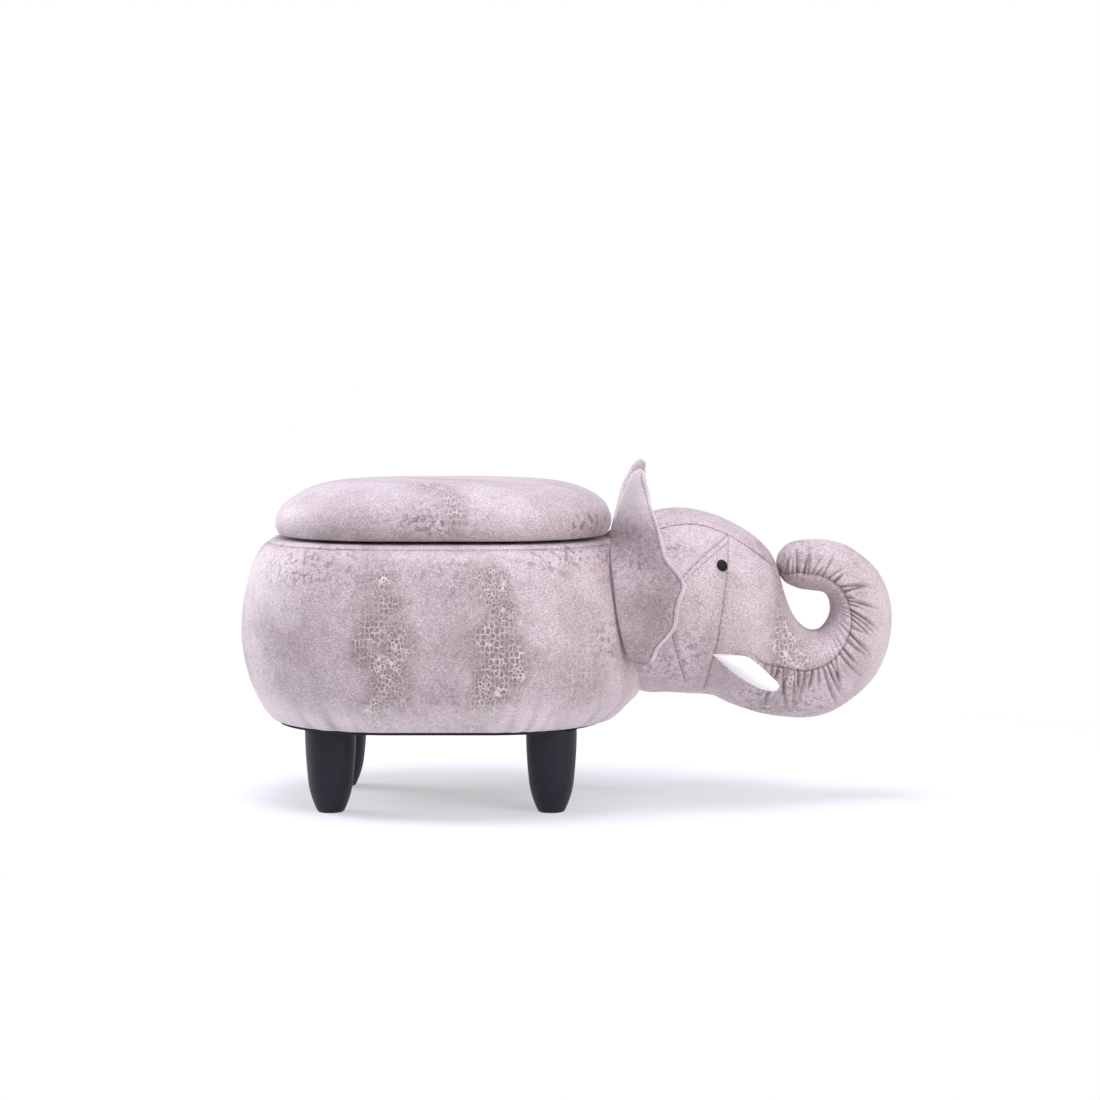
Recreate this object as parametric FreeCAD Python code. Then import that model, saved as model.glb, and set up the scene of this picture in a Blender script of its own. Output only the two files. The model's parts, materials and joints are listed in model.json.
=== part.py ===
import FreeCAD, Part
import math
import os

# Elephant-shaped storage ottoman: padded tub with a hinged lid, four turned legs, and a
# stuffed head with a curled trunk, ears, tusks and button eyes.
# Millimetres. +X points to the head, +Z up, origin on the floor under the middle of the part.

V = FreeCAD.Vector
UP = V(0, 0, 1)

# Heights above the floor
LEG_HEIGHT = 90.0
RIM_HEIGHT = 292.0
SEAT_HEIGHT = 356.0
LID_GAP = 3.6

# Upholstery: leatherette, the play between soft pieces, the dust cover and the lining
COVER_T = 1.2
SOFT_CLEAR = 0.3
COVER_TURN_IN = 25.0
DUST_T = 2.0
DUST_INSET = 4.0
LINING_T = 1.0

# Tub plan at the rim and at the base, and how far its sides swell between them
TUB_LENGTH = 356.0
TUB_WIDTH = 300.0
TUB_CORNER_R = 125.0
TUB_BULGE = 43.0
TUB_STATIONS = 9
LEAST_FLAT = 8.0

# Plywood box inside the tub, and the foam between it and the rim's edge
FOAM_END_T = 37.0
FOAM_SIDE_T = 41.0
BASE_T = 15.0
PANEL_T = 12.0
RAIL_T = 12.0

# Lid: how far it stands out past the rim, its bullnose, its board and its crown
LID_OVERHANG = 7.0
LID_TUCK = 5.0
LID_NOSE_HEIGHT = 21.0
LID_CROWN_INSET = 78.0
LID_CROWN_POWER = 2.2
LID_CROWN_STEPS = 7
LID_BOARD_T = 12.0

# Legs: turned, nearly straight above the knee and tapering below it
LEG_TOP_D = 55.0
LEG_FOOT_D = 29.0
LEG_KNEE_HEIGHT = 37.0
LEG_KNEE_D = 49.2
LEG_CALF_HEIGHT = 18.0
LEG_CALF_D = 42.4
LEG_FOOT_CHAMFER = 1.0
LEG_FROM_END = 59.0
LEG_FROM_SIDE = 58.0

# Leg fixings: hanger bolt and threaded insert
BOLT_D = 8.0
BOLT_IN_LEG = 28.0
INSERT_D = 12.0
INSERT_LENGTH = 13.0

# Wood screws and their holes
SCREW_D = 4.0
SCREW_HEAD_D = 8.0
SCREW_LENGTH = 40.0
HOLE_CLEAR = 0.1
SCREW_FROM_END = 40.0

# Butt hinges on the left long side
HINGE_LENGTH = 50.0
HINGE_FROM_END = 123.0
LEAF_T = 1.4
LEAF_WIDTH = 28.0
KNUCKLE_D = 5.2
KNUCKLES = 5
KNUCKLE_CLEAR = 0.3
PIN_D = 3.0
PIN_CLEAR = 0.05
PIN_HEAD_D = 4.4
PIN_HEAD_T = 1.2
HINGE_OUT = 3.2
LEAF_SCREW_D = 3.0
LEAF_SCREW_HEAD_D = 5.6
LEAF_SCREW_LENGTH = 11.0
LEAF_SCREW_EDGE = 9.0
LEAF_SCREWS = 3

# Rubber bumpers on the rim
BUMPER_D = 10.0
BUMPER_CLEAR = 0.2
BUMPER_SPAN_X = 150.0

# Neck block, from the front panel into the head
NECK_BLOCK_WIDTH = 70.0
NECK_BLOCK_HEIGHT = 70.0
NECK_BLOCK_LENGTH = 115.0
NECK_BLOCK_Z = 200.0
NECK_SCREW_LENGTH = 55.0

# Head, measured ahead of the tub's middle: forehead arc, chin line and half widths
FOREHEAD_R = 127.5
FOREHEAD_AHEAD = 258.0
FOREHEAD_Z = 197.0
FOREHEAD_ANGLES = (-9.0, 12.0, 33.0, 53.0, 68.0)
CHIN_BACK_AHEAD = 240.0
CHIN_LENGTH = 94.0
CHIN_Z = 122.0
CHIN_DROP = 13.0
CHIN_STEPS = (0.0, 0.35, 0.61, 0.80, 1.0)
HEAD_HALF_WIDTHS = (110.0, 107.0, 98.0, 83.0, 66.0)
NECK_TOP_AHEAD = 168.0
NECK_TOP_Z = 279.0
NECK_BOTTOM_AHEAD = 200.0
NECK_BOTTOM_Z = 130.0
NECK_HALF_WIDTH = 104.0

# Trunk: it curls between an outer circle and the loop that it leaves open
CURL_R = 98.0
CURL_AHEAD = 400.0
CURL_Z = 195.0
LOOP_R = 23.0
LOOP_AHEAD = 406.0
LOOP_Z = 214.0
CURL_START = -100.0
CURL_END = 80.0
CURL_STATIONS = 10
LOOP_TURN = 1.28
LOOP_LEAD = 10.0
TRUNK_ROOT_HALF_WIDTH = 56.0
TRUNK_END_HALF_WIDTH = 27.0
TIP_STEPS = (0.5, 0.8, 0.95)
TIP_GAP = 6.0
TIP_LIFT = 4.0
TRUNK_FILL_CLEAR = 0.8
LOFT_DEGREE = 2

# Ears: height above the ear's lowest point, root and free edge ahead of the tub's middle, spread
EAR_BOTTOM_Z = 161.0
EAR_T = 9.0
EAR_TIP_BULGE = 3.0
EAR_STATIONS = (
    (0.0, 206.0, 224.0, 118.0),
    (22.0, 190.0, 236.0, 130.0),
    (50.0, 180.0, 252.0, 143.0),
    (86.0, 176.0, 259.0, 152.0),
    (122.0, 176.0, 241.0, 154.0),
    (142.0, 182.0, 233.0, 153.0),
    (164.0, 193.0, 230.0, 150.0),
    (190.0, 203.0, 224.0, 146.0),
    (210.0, 209.0, 218.0, 142.0),
)
EAR_ROOT_SPREAD = (92.0, 98.0, 103.0, 100.0, 86.0, 96.0, 110.0, 124.0, 133.0)

# Tusks: root and tip ahead of the tub's middle, how thick, and their spread
TUSK_ROOT_AHEAD = 297.0
TUSK_ROOT_Z = 167.0
TUSK_TIP_AHEAD = 363.0
TUSK_TIP_Z = 134.0
TUSK_HALF_HEIGHTS = (4.0, 11.0, 13.0, 9.5, 3.5)
TUSK_FLATNESS = 0.8
TUSK_ROOT_SPREAD = 82.0
TUSK_TIP_SPREAD = 80.0

# Eyes: domed buttons on a shank with a washer behind the cover
EYE_AHEAD = 302.5
EYE_Z = 265.5
EYE_D = 11.5
EYE_DOME = 3.0
EYE_SHANK_D = 3.5
EYE_SHANK_LENGTH = 13.0
WASHER_D = 15.0
WASHER_T = 1.6

# Worked-out places
REACH_BACK = TUB_LENGTH / 2 + TUB_BULGE
REACH_AHEAD = CURL_AHEAD + CURL_R
TUB_X = REACH_BACK - (REACH_BACK + REACH_AHEAD) / 2
DUST_TOP = LEG_HEIGHT + DUST_T
BASE_BOTTOM = DUST_TOP + COVER_T
BASE_TOP = BASE_BOTTOM + BASE_T
RAIL_TOP = RIM_HEIGHT - COVER_T
RAIL_BOTTOM = RAIL_TOP - RAIL_T
BOX_LENGTH = TUB_LENGTH - 2 * FOAM_END_T
BOX_WIDTH = TUB_WIDTH - 2 * FOAM_SIDE_T
BAY_LENGTH = BOX_LENGTH - 2 * PANEL_T
BAY_WIDTH = BOX_WIDTH - 2 * PANEL_T
WOOD_INSET = COVER_T + SOFT_CLEAR
LID_BOTTOM = RIM_HEIGHT + LID_GAP
LID_BOARD_BOTTOM = LID_BOTTOM + COVER_T
LID_BOARD_TOP = LID_BOARD_BOTTOM + LID_BOARD_T
LID_LENGTH = TUB_LENGTH + 2 * LID_OVERHANG
LID_WIDTH = TUB_WIDTH + 2 * LID_OVERHANG
LID_CORNER_R = TUB_CORNER_R + LID_OVERHANG
LID_UNDER_WIDTH = LID_WIDTH - 2 * LID_TUCK
LEG_SPAN_X = TUB_LENGTH - 2 * LEG_FROM_END
LEG_SPAN_Y = TUB_WIDTH - 2 * LEG_FROM_SIDE
HINGE_SPACING = TUB_LENGTH - 2 * HINGE_FROM_END
HINGE_Y = LID_UNDER_WIDTH / 2 + HINGE_OUT
HINGE_Z = RIM_HEIGHT + LID_GAP / 2
FAR_OUT = TUB_LENGTH


def save(name, shape):
    """Write one node."""
    shape.exportStep("parts/" + name + ".step")
    print(name, len(shape.Solids), "solids", round(shape.Volume / 1000.0, 1), "cm3")


def block(x0, x1, y0, y1, z0, z1):
    """Box between two corners."""
    return Part.makeBox(x1 - x0, y1 - y0, z1 - z0, V(x0, y0, z0))


def mirrored(shape):
    """The same piece on the other side of the middle plane."""
    return shape.mirror(V(0, 0, 0), V(0, 1, 0))


def plan(length, width, corner, z):
    """Closed outline of a rounded rectangle round the tub's middle: four lines and four quarter arcs."""
    radius = min(corner, width / 2 - LEAST_FLAT, length / 2 - LEAST_FLAT)
    far_x = length / 2
    far_y = width / 2
    edges = []
    corners = ((1, 1, 0), (-1, 1, 90), (-1, -1, 180), (1, -1, 270))
    ends = []
    for side_x, side_y, start in corners:
        centre = V(TUB_X + side_x * (far_x - radius), side_y * (far_y - radius), z)
        turn = [math.radians(start + step) for step in (0, 45, 90)]
        ends.append([centre + V(radius * math.cos(a), radius * math.sin(a), 0) for a in turn])
    for index, points in enumerate(ends):
        following = ends[(index + 1) % 4]
        edges.append(Part.Arc(*points).toShape())
        edges.append(Part.makeLine(points[2], following[0]))
    return Part.Wire(edges)


def slab(length, width, corner, z0, z1):
    """Flat board with the rounded plan."""
    return Part.Face(plan(length, width, corner, z0)).extrude(V(0, 0, z1 - z0))


def swell(z):
    """How far the tub's side stands out at a height: an arc over the height of the sides."""
    half = (RIM_HEIGHT - DUST_TOP) / 2
    radius = (half * half + TUB_BULGE * TUB_BULGE) / (2 * TUB_BULGE)
    from_middle = z - (RIM_HEIGHT + DUST_TOP) / 2
    return math.sqrt(radius * radius - from_middle * from_middle) - (radius - TUB_BULGE)


def tub_form(inset, z0, z1):
    """Swelling body of the tub, its skin moved in by inset."""
    wires = []
    for index in range(TUB_STATIONS):
        z = z0 + (z1 - z0) * index / (TUB_STATIONS - 1)
        out = swell(z) - inset
        wires.append(plan(TUB_LENGTH + 2 * out, TUB_WIDTH + 2 * out, TUB_CORNER_R + out, z))
    return Part.makeLoft(wires, True, False, False, LOFT_DEGREE)


def lid_form(inset, z0, z1):
    """Crowned cushion form of the lid between two levels, its skin moved in by inset.

    Below the nose its side is tucked in on a parabola, above it follows a superellipse to the crown."""
    crown_height = SEAT_HEIGHT - LID_BOTTOM - LID_NOSE_HEIGHT
    rows = [(LID_NOSE_HEIGHT * (1 - share), LID_TUCK * share * share) for share in (1.0, 0.5)]
    for step in range(LID_CROWN_STEPS + 1):
        turn = math.pi / 2 * step / LID_CROWN_STEPS
        rise = crown_height * math.sin(turn) ** (2 / LID_CROWN_POWER)
        rows.append((LID_NOSE_HEIGHT + rise, LID_CROWN_INSET * (1 - math.cos(turn) ** (2 / LID_CROWN_POWER))))
    stretch = (z1 - z0) / (SEAT_HEIGHT - LID_BOTTOM)
    wires = []
    for rise, tuck in rows:
        step_in = tuck + inset
        z = z0 + rise * stretch
        wires.append(plan(LID_LENGTH - 2 * step_in, LID_WIDTH - 2 * step_in, LID_CORNER_R - step_in, z))
    return Part.makeLoft(wires, True, False, False, LOFT_DEGREE)


def wedge(half_x, half_y, side, z0, z1):
    """Mitred prism on one side of a rectangle, out past the part: side is front, rear, left or right."""
    near = {
        "front": (V(half_x, -half_y, 0), V(half_x, half_y, 0)),
        "rear": (V(-half_x, half_y, 0), V(-half_x, -half_y, 0)),
        "left": (V(half_x, half_y, 0), V(-half_x, half_y, 0)),
        "right": (V(-half_x, -half_y, 0), V(half_x, -half_y, 0)),
    }[side]
    far = [p + V(math.copysign(FAR_OUT, p.x), math.copysign(FAR_OUT, p.y), 0) for p in near]
    ring = [near[0], near[1], far[1], far[0], near[0]]
    ring = [p + V(TUB_X, 0, z0) for p in ring]
    return Part.Face(Part.makePolygon(ring)).extrude(V(0, 0, z1 - z0))


def countersunk(point, axis, shank_d, head_d, length, clear=0.0):
    """Countersunk screw, its head's face at point and its shank along axis."""
    shank_r = shank_d / 2 + clear
    head_r = head_d / 2 + clear
    depth = (head_d - shank_d) / 2
    head = Part.makeCone(head_r, shank_r, depth, point, axis)
    shank = Part.makeCylinder(shank_r, length + clear - depth, point + axis * depth, axis)
    return head.fuse(shank).removeSplitter()


def oval(top, bottom, half_width, inset):
    """Closed oval across the line from bottom to top, its outline moved in by inset.

    Four tangent arcs that meet where the outline runs at 45 degrees: with semi-axes a and b, the arc on
    the end of a is centred (a - b) * k from the middle, where k = 1 / (1 + tan 45 - 1 / cos 45)."""
    middle = (top + bottom) * 0.5
    rise = (top - bottom).normalize()
    tall = (top - middle).Length - inset
    wide = half_width - inset
    centre = (tall - wide) / (2 - math.sqrt(2))
    radius = tall - centre
    up = centre + radius * math.sqrt(0.5)
    out = radius * math.sqrt(0.5)

    def at(u, s):
        return middle + rise * u + V(0, s, 0)

    arcs = (
        Part.Arc(at(up, -out), at(tall, 0), at(up, out)),
        Part.Arc(at(up, out), at(0, wide), at(-up, out)),
        Part.Arc(at(-up, out), at(-tall, 0), at(-up, -out)),
        Part.Arc(at(-up, -out), at(0, -wide), at(up, -out)),
    )
    return Part.Wire([arc.toShape() for arc in arcs])


def head_stations():
    """Top point, bottom point and half width of each section from the neck to the trunk's root."""
    stations = [(
        V(TUB_X + NECK_TOP_AHEAD, 0, NECK_TOP_Z),
        V(TUB_X + NECK_BOTTOM_AHEAD, 0, NECK_BOTTOM_Z),
        NECK_HALF_WIDTH,
    )]
    for angle, step, half_width in zip(FOREHEAD_ANGLES, CHIN_STEPS, HEAD_HALF_WIDTHS):
        lean = math.radians(angle)
        top_x = TUB_X + FOREHEAD_AHEAD + FOREHEAD_R * math.sin(lean)
        top = V(top_x, 0, FOREHEAD_Z + FOREHEAD_R * math.cos(lean))
        bottom_x = TUB_X + CHIN_BACK_AHEAD + CHIN_LENGTH * step
        bottom = V(bottom_x, 0, CHIN_Z - CHIN_DROP * step ** 3)
        stations.append((top, bottom, half_width))
    return stations


def curl_point(ahead, height, radius, degrees):
    """Point on a circle of the trunk's curl."""
    turn = math.radians(degrees)
    return V(TUB_X + ahead + radius * math.cos(turn), 0, height + radius * math.sin(turn))


def trunk_stations(tip_inset):
    """Sections of the trunk: inner point on the loop, outer point on the curl, then a rounded tip."""
    stations = []
    for index in range(CURL_STATIONS):
        share = index / (CURL_STATIONS - 1)
        degrees = CURL_START + (CURL_END - CURL_START) * share
        inner = curl_point(LOOP_AHEAD, LOOP_Z, LOOP_R, LOOP_LEAD + LOOP_TURN * degrees)
        outer = curl_point(CURL_AHEAD, CURL_Z, CURL_R, degrees)
        half_width = TRUNK_ROOT_HALF_WIDTH + (TRUNK_END_HALF_WIDTH - TRUNK_ROOT_HALF_WIDTH) * share
        stations.append((inner, outer, half_width))
    inner, outer, half_width = stations[-1]
    middle = (inner + outer) * 0.5
    above = middle.z - FOREHEAD_Z
    forehead_x = TUB_X + FOREHEAD_AHEAD + math.sqrt(FOREHEAD_R * FOREHEAD_R - above * above)
    tip_length = (middle.x - forehead_x - TIP_GAP) / TIP_STEPS[-1]
    for step in TIP_STEPS:
        share = math.sqrt(1 - step * step)
        centre = middle + V((tip_inset - tip_length) * step, 0, TIP_LIFT * step)
        rise = (inner - middle) * share
        rise.x = rise.x * share ** 3
        stations.append((centre + rise, centre - rise, half_width * share))
    root = head_stations()[-1]
    blend = tuple((near + far) * 0.5 for near, far in zip(root, stations[0]))
    return [root, blend] + stations


def stuffed_form(stations, inset):
    """Smooth body through the sections, its skin moved in by inset."""
    wires = [oval(top, bottom, half_width, inset) for top, bottom, half_width in stations]
    return Part.makeLoft(wires, True, False, False, LOFT_DEGREE)


def sleeve(outer, inner, open_end):
    """Cover of one thickness between two rows of sections, open at its start.

    Its faces are the outer skin, the inner skin, and a ring or two caps where they end."""
    outside = [oval(top, bottom, half_width, 0.0) for top, bottom, half_width in outer]
    inside = [oval(top, bottom, half_width, COVER_T) for top, bottom, half_width in inner]
    faces = []
    for wires in (outside, inside):
        faces += Part.makeLoft(wires, False, False, False, LOFT_DEGREE).Faces
    faces.append(Part.makeFace([outside[0], inside[0]], "Part::FaceMakerBullseye"))
    if open_end:
        faces.append(Part.makeFace([outside[-1], inside[-1]], "Part::FaceMakerBullseye"))
    else:
        faces += [Part.Face(outside[-1]), Part.Face(inside[-1])]
    shell = Part.makeShell(faces)
    shell.sewShape()
    return Part.makeSolid(shell)


def skin_y(form, x, z):
    """How far out to the side a form's skin lies at a place."""
    ray = Part.makeLine(V(x, 0, z), V(x, FAR_OUT, z))
    return form.common(ray).BoundBox.YMax


# Forms that other pieces are cut by
tub_outside = tub_form(-SOFT_CLEAR, DUST_TOP, RIM_HEIGHT)
head_outside = stuffed_form(head_stations(), -SOFT_CLEAR)
trunk_outside = stuffed_form(trunk_stations(0.0), -SOFT_CLEAR)
bay_half_x = BAY_LENGTH / 2
bay_half_y = BAY_WIDTH / 2
box_half_x = BOX_LENGTH / 2
box_half_y = BOX_WIDTH / 2
bay = block(TUB_X - bay_half_x, TUB_X + bay_half_x, -bay_half_y, bay_half_y, BASE_TOP, RIM_HEIGHT)


def leg_places():
    """Name and centre of each leg."""
    for end, side_x in (("front", 1), ("rear", -1)):
        for hand, side_y in (("left", 1), ("right", -1)):
            yield "leg_" + end + "_" + hand, V(TUB_X + side_x * LEG_SPAN_X / 2, side_y * LEG_SPAN_Y / 2, 0)


def leg(centre):
    """Turned leg: an arc from the top to the knee and one from the knee to the foot, with its bolt hole."""
    top = V(LEG_TOP_D / 2, 0, LEG_HEIGHT)
    knee = V(LEG_KNEE_D / 2, 0, LEG_KNEE_HEIGHT)
    calf = V(LEG_CALF_D / 2, 0, LEG_CALF_HEIGHT)
    foot = V(LEG_FOOT_D / 2, 0, LEG_FOOT_CHAMFER)
    sole = V(LEG_FOOT_D / 2 - LEG_FOOT_CHAMFER, 0, 0)
    thigh_z = (LEG_HEIGHT + LEG_KNEE_HEIGHT) / 2
    thigh = V(LEG_TOP_D / 2 - (LEG_TOP_D - LEG_KNEE_D) / 8, 0, thigh_z)
    outline = Part.Wire([
        Part.makeLine(V(0, 0, LEG_HEIGHT), top),
        Part.Arc(top, thigh, knee).toShape(),
        Part.Arc(knee, calf, foot).toShape(),
        Part.makeLine(foot, sole),
        Part.makeLine(sole, V(0, 0, 0)),
        Part.makeLine(V(0, 0, 0), V(0, 0, LEG_HEIGHT)),
    ])
    turned = Part.Face(outline).revolve(V(0, 0, 0), UP, 360)
    turned.translate(centre)
    return turned.cut(leg_bolt(centre, HOLE_CLEAR))


def leg_bolt(centre, clear=0.0):
    """Hanger bolt from inside the leg up into its insert."""
    length = BOLT_IN_LEG + DUST_T + COVER_T + INSERT_LENGTH
    start = centre + V(0, 0, LEG_HEIGHT - BOLT_IN_LEG - clear)
    return Part.makeCylinder(BOLT_D / 2 + clear, length + clear, start, UP)


def leg_insert(centre, clear=0.0):
    """Threaded insert let into the base board from below."""
    return Part.makeCylinder(INSERT_D / 2 + clear, INSERT_LENGTH + clear, centre + V(0, 0, BASE_BOTTOM), UP)


def box_screws(z, axis, clear=0.0):
    """Two screws into each of the four panels, their heads on a board's face at z."""
    mid_x = box_half_x - PANEL_T / 2
    mid_y = box_half_y - PANEL_T / 2
    along_x = bay_half_x - SCREW_FROM_END
    along_y = bay_half_y - SCREW_FROM_END
    places = [(sx * along_x, sy * mid_y) for sx in (1, -1) for sy in (1, -1)]
    places += [(sx * mid_x, sy * along_y) for sx in (1, -1) for sy in (1, -1)]
    return [
        countersunk(V(TUB_X + x, y, z), axis, SCREW_D, SCREW_HEAD_D, SCREW_LENGTH, clear)
        for x, y in places
    ]


def neck_block(clear=0.0):
    """Pine block that carries the head, standing on the front panel."""
    start = TUB_X + box_half_x
    half_y = NECK_BLOCK_WIDTH / 2 + clear
    half_z = NECK_BLOCK_HEIGHT / 2 + clear
    end = start + NECK_BLOCK_LENGTH + clear
    return block(start, end, -half_y, half_y, NECK_BLOCK_Z - half_z, NECK_BLOCK_Z + half_z)


def neck_screws(clear=0.0):
    """Four screws from inside the box through the front panel into the neck block."""
    x = TUB_X + bay_half_x
    apart_y = NECK_BLOCK_WIDTH / 4
    apart_z = NECK_BLOCK_HEIGHT / 4
    return [
        countersunk(V(x, sy * apart_y, NECK_BLOCK_Z + sz * apart_z), V(1, 0, 0),
                    SCREW_D, SCREW_HEAD_D, NECK_SCREW_LENGTH, clear)
        for sy in (1, -1) for sz in (1, -1)
    ]


def hinge_middles():
    """Name and X of each hinge's middle."""
    yield "front", TUB_X + HINGE_SPACING / 2
    yield "rear", TUB_X - HINGE_SPACING / 2


def leaf_screw_places(middle):
    """X and Y of the screws in one leaf, in a zigzag."""
    step = (HINGE_LENGTH - 2 * LEAF_SCREW_EDGE) / (LEAF_SCREWS - 1)
    for index in range(LEAF_SCREWS):
        x = middle - HINGE_LENGTH / 2 + LEAF_SCREW_EDGE + step * index
        inset = LEAF_SCREW_EDGE if index % 2 else LEAF_WIDTH - HINGE_OUT - LEAF_SCREW_EDGE
        yield x, HINGE_Y - LEAF_WIDTH + inset


def leaf_screws(middle, on_lid, clear=0.0):
    """Screws of one leaf, their heads flush with the leaf's open face."""
    z = LID_BOTTOM - LEAF_T if on_lid else RIM_HEIGHT + LEAF_T
    axis = UP if on_lid else V(0, 0, -1)
    return [
        countersunk(V(x, y, z), axis, LEAF_SCREW_D, LEAF_SCREW_HEAD_D, LEAF_SCREW_LENGTH, clear)
        for x, y in leaf_screw_places(middle)
    ]


def hinge_leaf(middle, on_lid):
    """Leaf with its own knuckles: the tub's leaf has the odd ones, the lid's leaf the even ones."""
    start = middle - HINGE_LENGTH / 2
    z0 = LID_BOTTOM - LEAF_T if on_lid else RIM_HEIGHT
    pitch = HINGE_LENGTH / KNUCKLES
    leaf = block(start, start + HINGE_LENGTH, HINGE_Y - LEAF_WIDTH, HINGE_Y, z0, z0 + LEAF_T)
    for index in range(KNUCKLES):
        own = index % 2 == (1 if on_lid else 0)
        x0 = start + pitch * index
        if own:
            barrel = Part.makeCylinder(
                KNUCKLE_D / 2, pitch - KNUCKLE_CLEAR, V(x0 + KNUCKLE_CLEAR / 2, 0, 0), V(1, 0, 0))
            barrel.translate(V(0, HINGE_Y, HINGE_Z))
            leaf = leaf.fuse(barrel)
        else:
            reach = KNUCKLE_D / 2 + KNUCKLE_CLEAR
            room = Part.makeCylinder(
                reach, pitch + KNUCKLE_CLEAR, V(x0 - KNUCKLE_CLEAR / 2, 0, 0), V(1, 0, 0))
            room.translate(V(0, HINGE_Y, HINGE_Z))
            leaf = leaf.cut(room)
    bore = Part.makeCylinder(PIN_D / 2 + PIN_CLEAR, HINGE_LENGTH, V(start, HINGE_Y, HINGE_Z), V(1, 0, 0))
    return leaf.cut(bore).cut(Part.makeCompound(leaf_screws(middle, on_lid, HOLE_CLEAR))).removeSplitter()


def hinge_pin(middle):
    """Headed pin through all the knuckles."""
    axis = V(1, 0, 0)
    start = V(middle - HINGE_LENGTH / 2, HINGE_Y, HINGE_Z)
    pin = Part.makeCylinder(PIN_D / 2, HINGE_LENGTH, start, axis)
    head = Part.makeCylinder(PIN_HEAD_D / 2, PIN_HEAD_T, start - axis * PIN_HEAD_T, axis)
    tail = Part.makeCylinder(PIN_HEAD_D / 2, PIN_HEAD_T, start + axis * HINGE_LENGTH, axis)
    return pin.fuse(head).fuse(tail).removeSplitter()


# The box: base board, panels, rails and their screws
legs = list(leg_places())
inserts = [leg_insert(centre) for name, centre in legs]
base_screws = box_screws(BASE_BOTTOM, UP)
rail_screws = box_screws(RAIL_TOP, V(0, 0, -1))
hinge_holes = []
for end, middle in hinge_middles():
    hinge_holes += leaf_screws(middle, False, HOLE_CLEAR)
box_holes = Part.makeCompound(
    box_screws(BASE_BOTTOM, UP, HOLE_CLEAR)
    + box_screws(RAIL_TOP, V(0, 0, -1), HOLE_CLEAR)
    + neck_screws(HOLE_CLEAR)
    + hinge_holes
)
insert_holes = Part.makeCompound([leg_insert(centre, HOLE_CLEAR) for name, centre in legs])
bolt_holes = Part.makeCompound([leg_bolt(centre, HOLE_CLEAR) for name, centre in legs])

wood_length = TUB_LENGTH - 2 * WOOD_INSET
wood_width = TUB_WIDTH - 2 * WOOD_INSET
wood_corner = TUB_CORNER_R - WOOD_INSET
base_board = slab(wood_length, wood_width, wood_corner, BASE_BOTTOM, BASE_TOP)
rim = slab(wood_length, wood_width, wood_corner, RAIL_BOTTOM, RAIL_TOP)
box_rear = TUB_X - box_half_x
box_front = TUB_X + box_half_x
bay_rear = TUB_X - bay_half_x
bay_front = TUB_X + bay_half_x
panels = {
    "panel_left": block(box_rear, box_front, bay_half_y, box_half_y, BASE_TOP, RAIL_BOTTOM),
    "panel_right": block(box_rear, box_front, -box_half_y, -bay_half_y, BASE_TOP, RAIL_BOTTOM),
    "panel_front": block(bay_front, box_front, -bay_half_y, bay_half_y, BASE_TOP, RAIL_BOTTOM),
    "panel_rear": block(box_rear, bay_rear, -bay_half_y, bay_half_y, BASE_TOP, RAIL_BOTTOM),
}

# Foam round the box, and the covers over it
foam_form = tub_form(WOOD_INSET, BASE_BOTTOM, RAIL_TOP)
foam_room = [
    slab(wood_length + 2 * SOFT_CLEAR, wood_width + 2 * SOFT_CLEAR, wood_corner + SOFT_CLEAR, z0, z1)
    for z0, z1 in ((BASE_BOTTOM, BASE_TOP), (RAIL_BOTTOM, RAIL_TOP))
]
foam_room.append(neck_block(SOFT_CLEAR))
turn_in = slab(
    TUB_LENGTH - 2 * COVER_TURN_IN, TUB_WIDTH - 2 * COVER_TURN_IN,
    TUB_CORNER_R - COVER_TURN_IN, DUST_TOP, BASE_BOTTOM)
body_cover = tub_form(0.0, DUST_TOP, RIM_HEIGHT).cut(tub_form(COVER_T, BASE_BOTTOM, RAIL_TOP))
body_cover = body_cover.cut(bay).cut(turn_in).cut(neck_block(SOFT_CLEAR)).cut(Part.makeCompound(hinge_holes))
body_cover = body_cover.cut(bolt_holes)
lining_room = block(
    bay_rear + LINING_T, bay_front - LINING_T,
    -bay_half_y + LINING_T, bay_half_y - LINING_T, BASE_TOP + LINING_T, RIM_HEIGHT)
box_lining = bay.cut(lining_room)
dust_cover = slab(
    TUB_LENGTH - 2 * DUST_INSET, TUB_WIDTH - 2 * DUST_INSET, TUB_CORNER_R - DUST_INSET, LEG_HEIGHT, DUST_TOP)

# Rubber bumpers, on the rail across from the hinges
bumper_y = -(bay_half_y + TUB_WIDTH / 2) / 2
bumper_height = LID_GAP - BUMPER_CLEAR
bumper_half_span = BUMPER_SPAN_X / 2
bumpers = [
    Part.makeCylinder(
        BUMPER_D / 2, bumper_height, V(TUB_X + side * bumper_half_span, bumper_y, RIM_HEIGHT), UP)
    for side in (1, -1)
]

# Lid: board, foam, cover turned in below the board, and a lining that fills the turned-in edge
lid_board = slab(
    LID_LENGTH - 2 * LID_TUCK - 2 * WOOD_INSET, LID_UNDER_WIDTH - 2 * WOOD_INSET,
    LID_CORNER_R - LID_TUCK - WOOD_INSET, LID_BOARD_BOTTOM, LID_BOARD_TOP)
lid_screw_holes = []
for end, middle in hinge_middles():
    lid_screw_holes += leaf_screws(middle, True, HOLE_CLEAR)
lid_screw_holes = Part.makeCompound(lid_screw_holes)
lid_inside = lid_form(WOOD_INSET, LID_BOARD_BOTTOM, SEAT_HEIGHT - WOOD_INSET)
above_board = block(
    TUB_X - FAR_OUT, TUB_X + FAR_OUT, -FAR_OUT, FAR_OUT, LID_BOARD_TOP, SEAT_HEIGHT)
lid_foam = lid_inside.common(above_board)
lid_opening = slab(
    LID_LENGTH - 2 * LID_TUCK - 2 * COVER_TURN_IN, LID_UNDER_WIDTH - 2 * COVER_TURN_IN,
    LID_CORNER_R - LID_TUCK - COVER_TURN_IN, LID_BOTTOM, LID_BOARD_BOTTOM)
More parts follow.
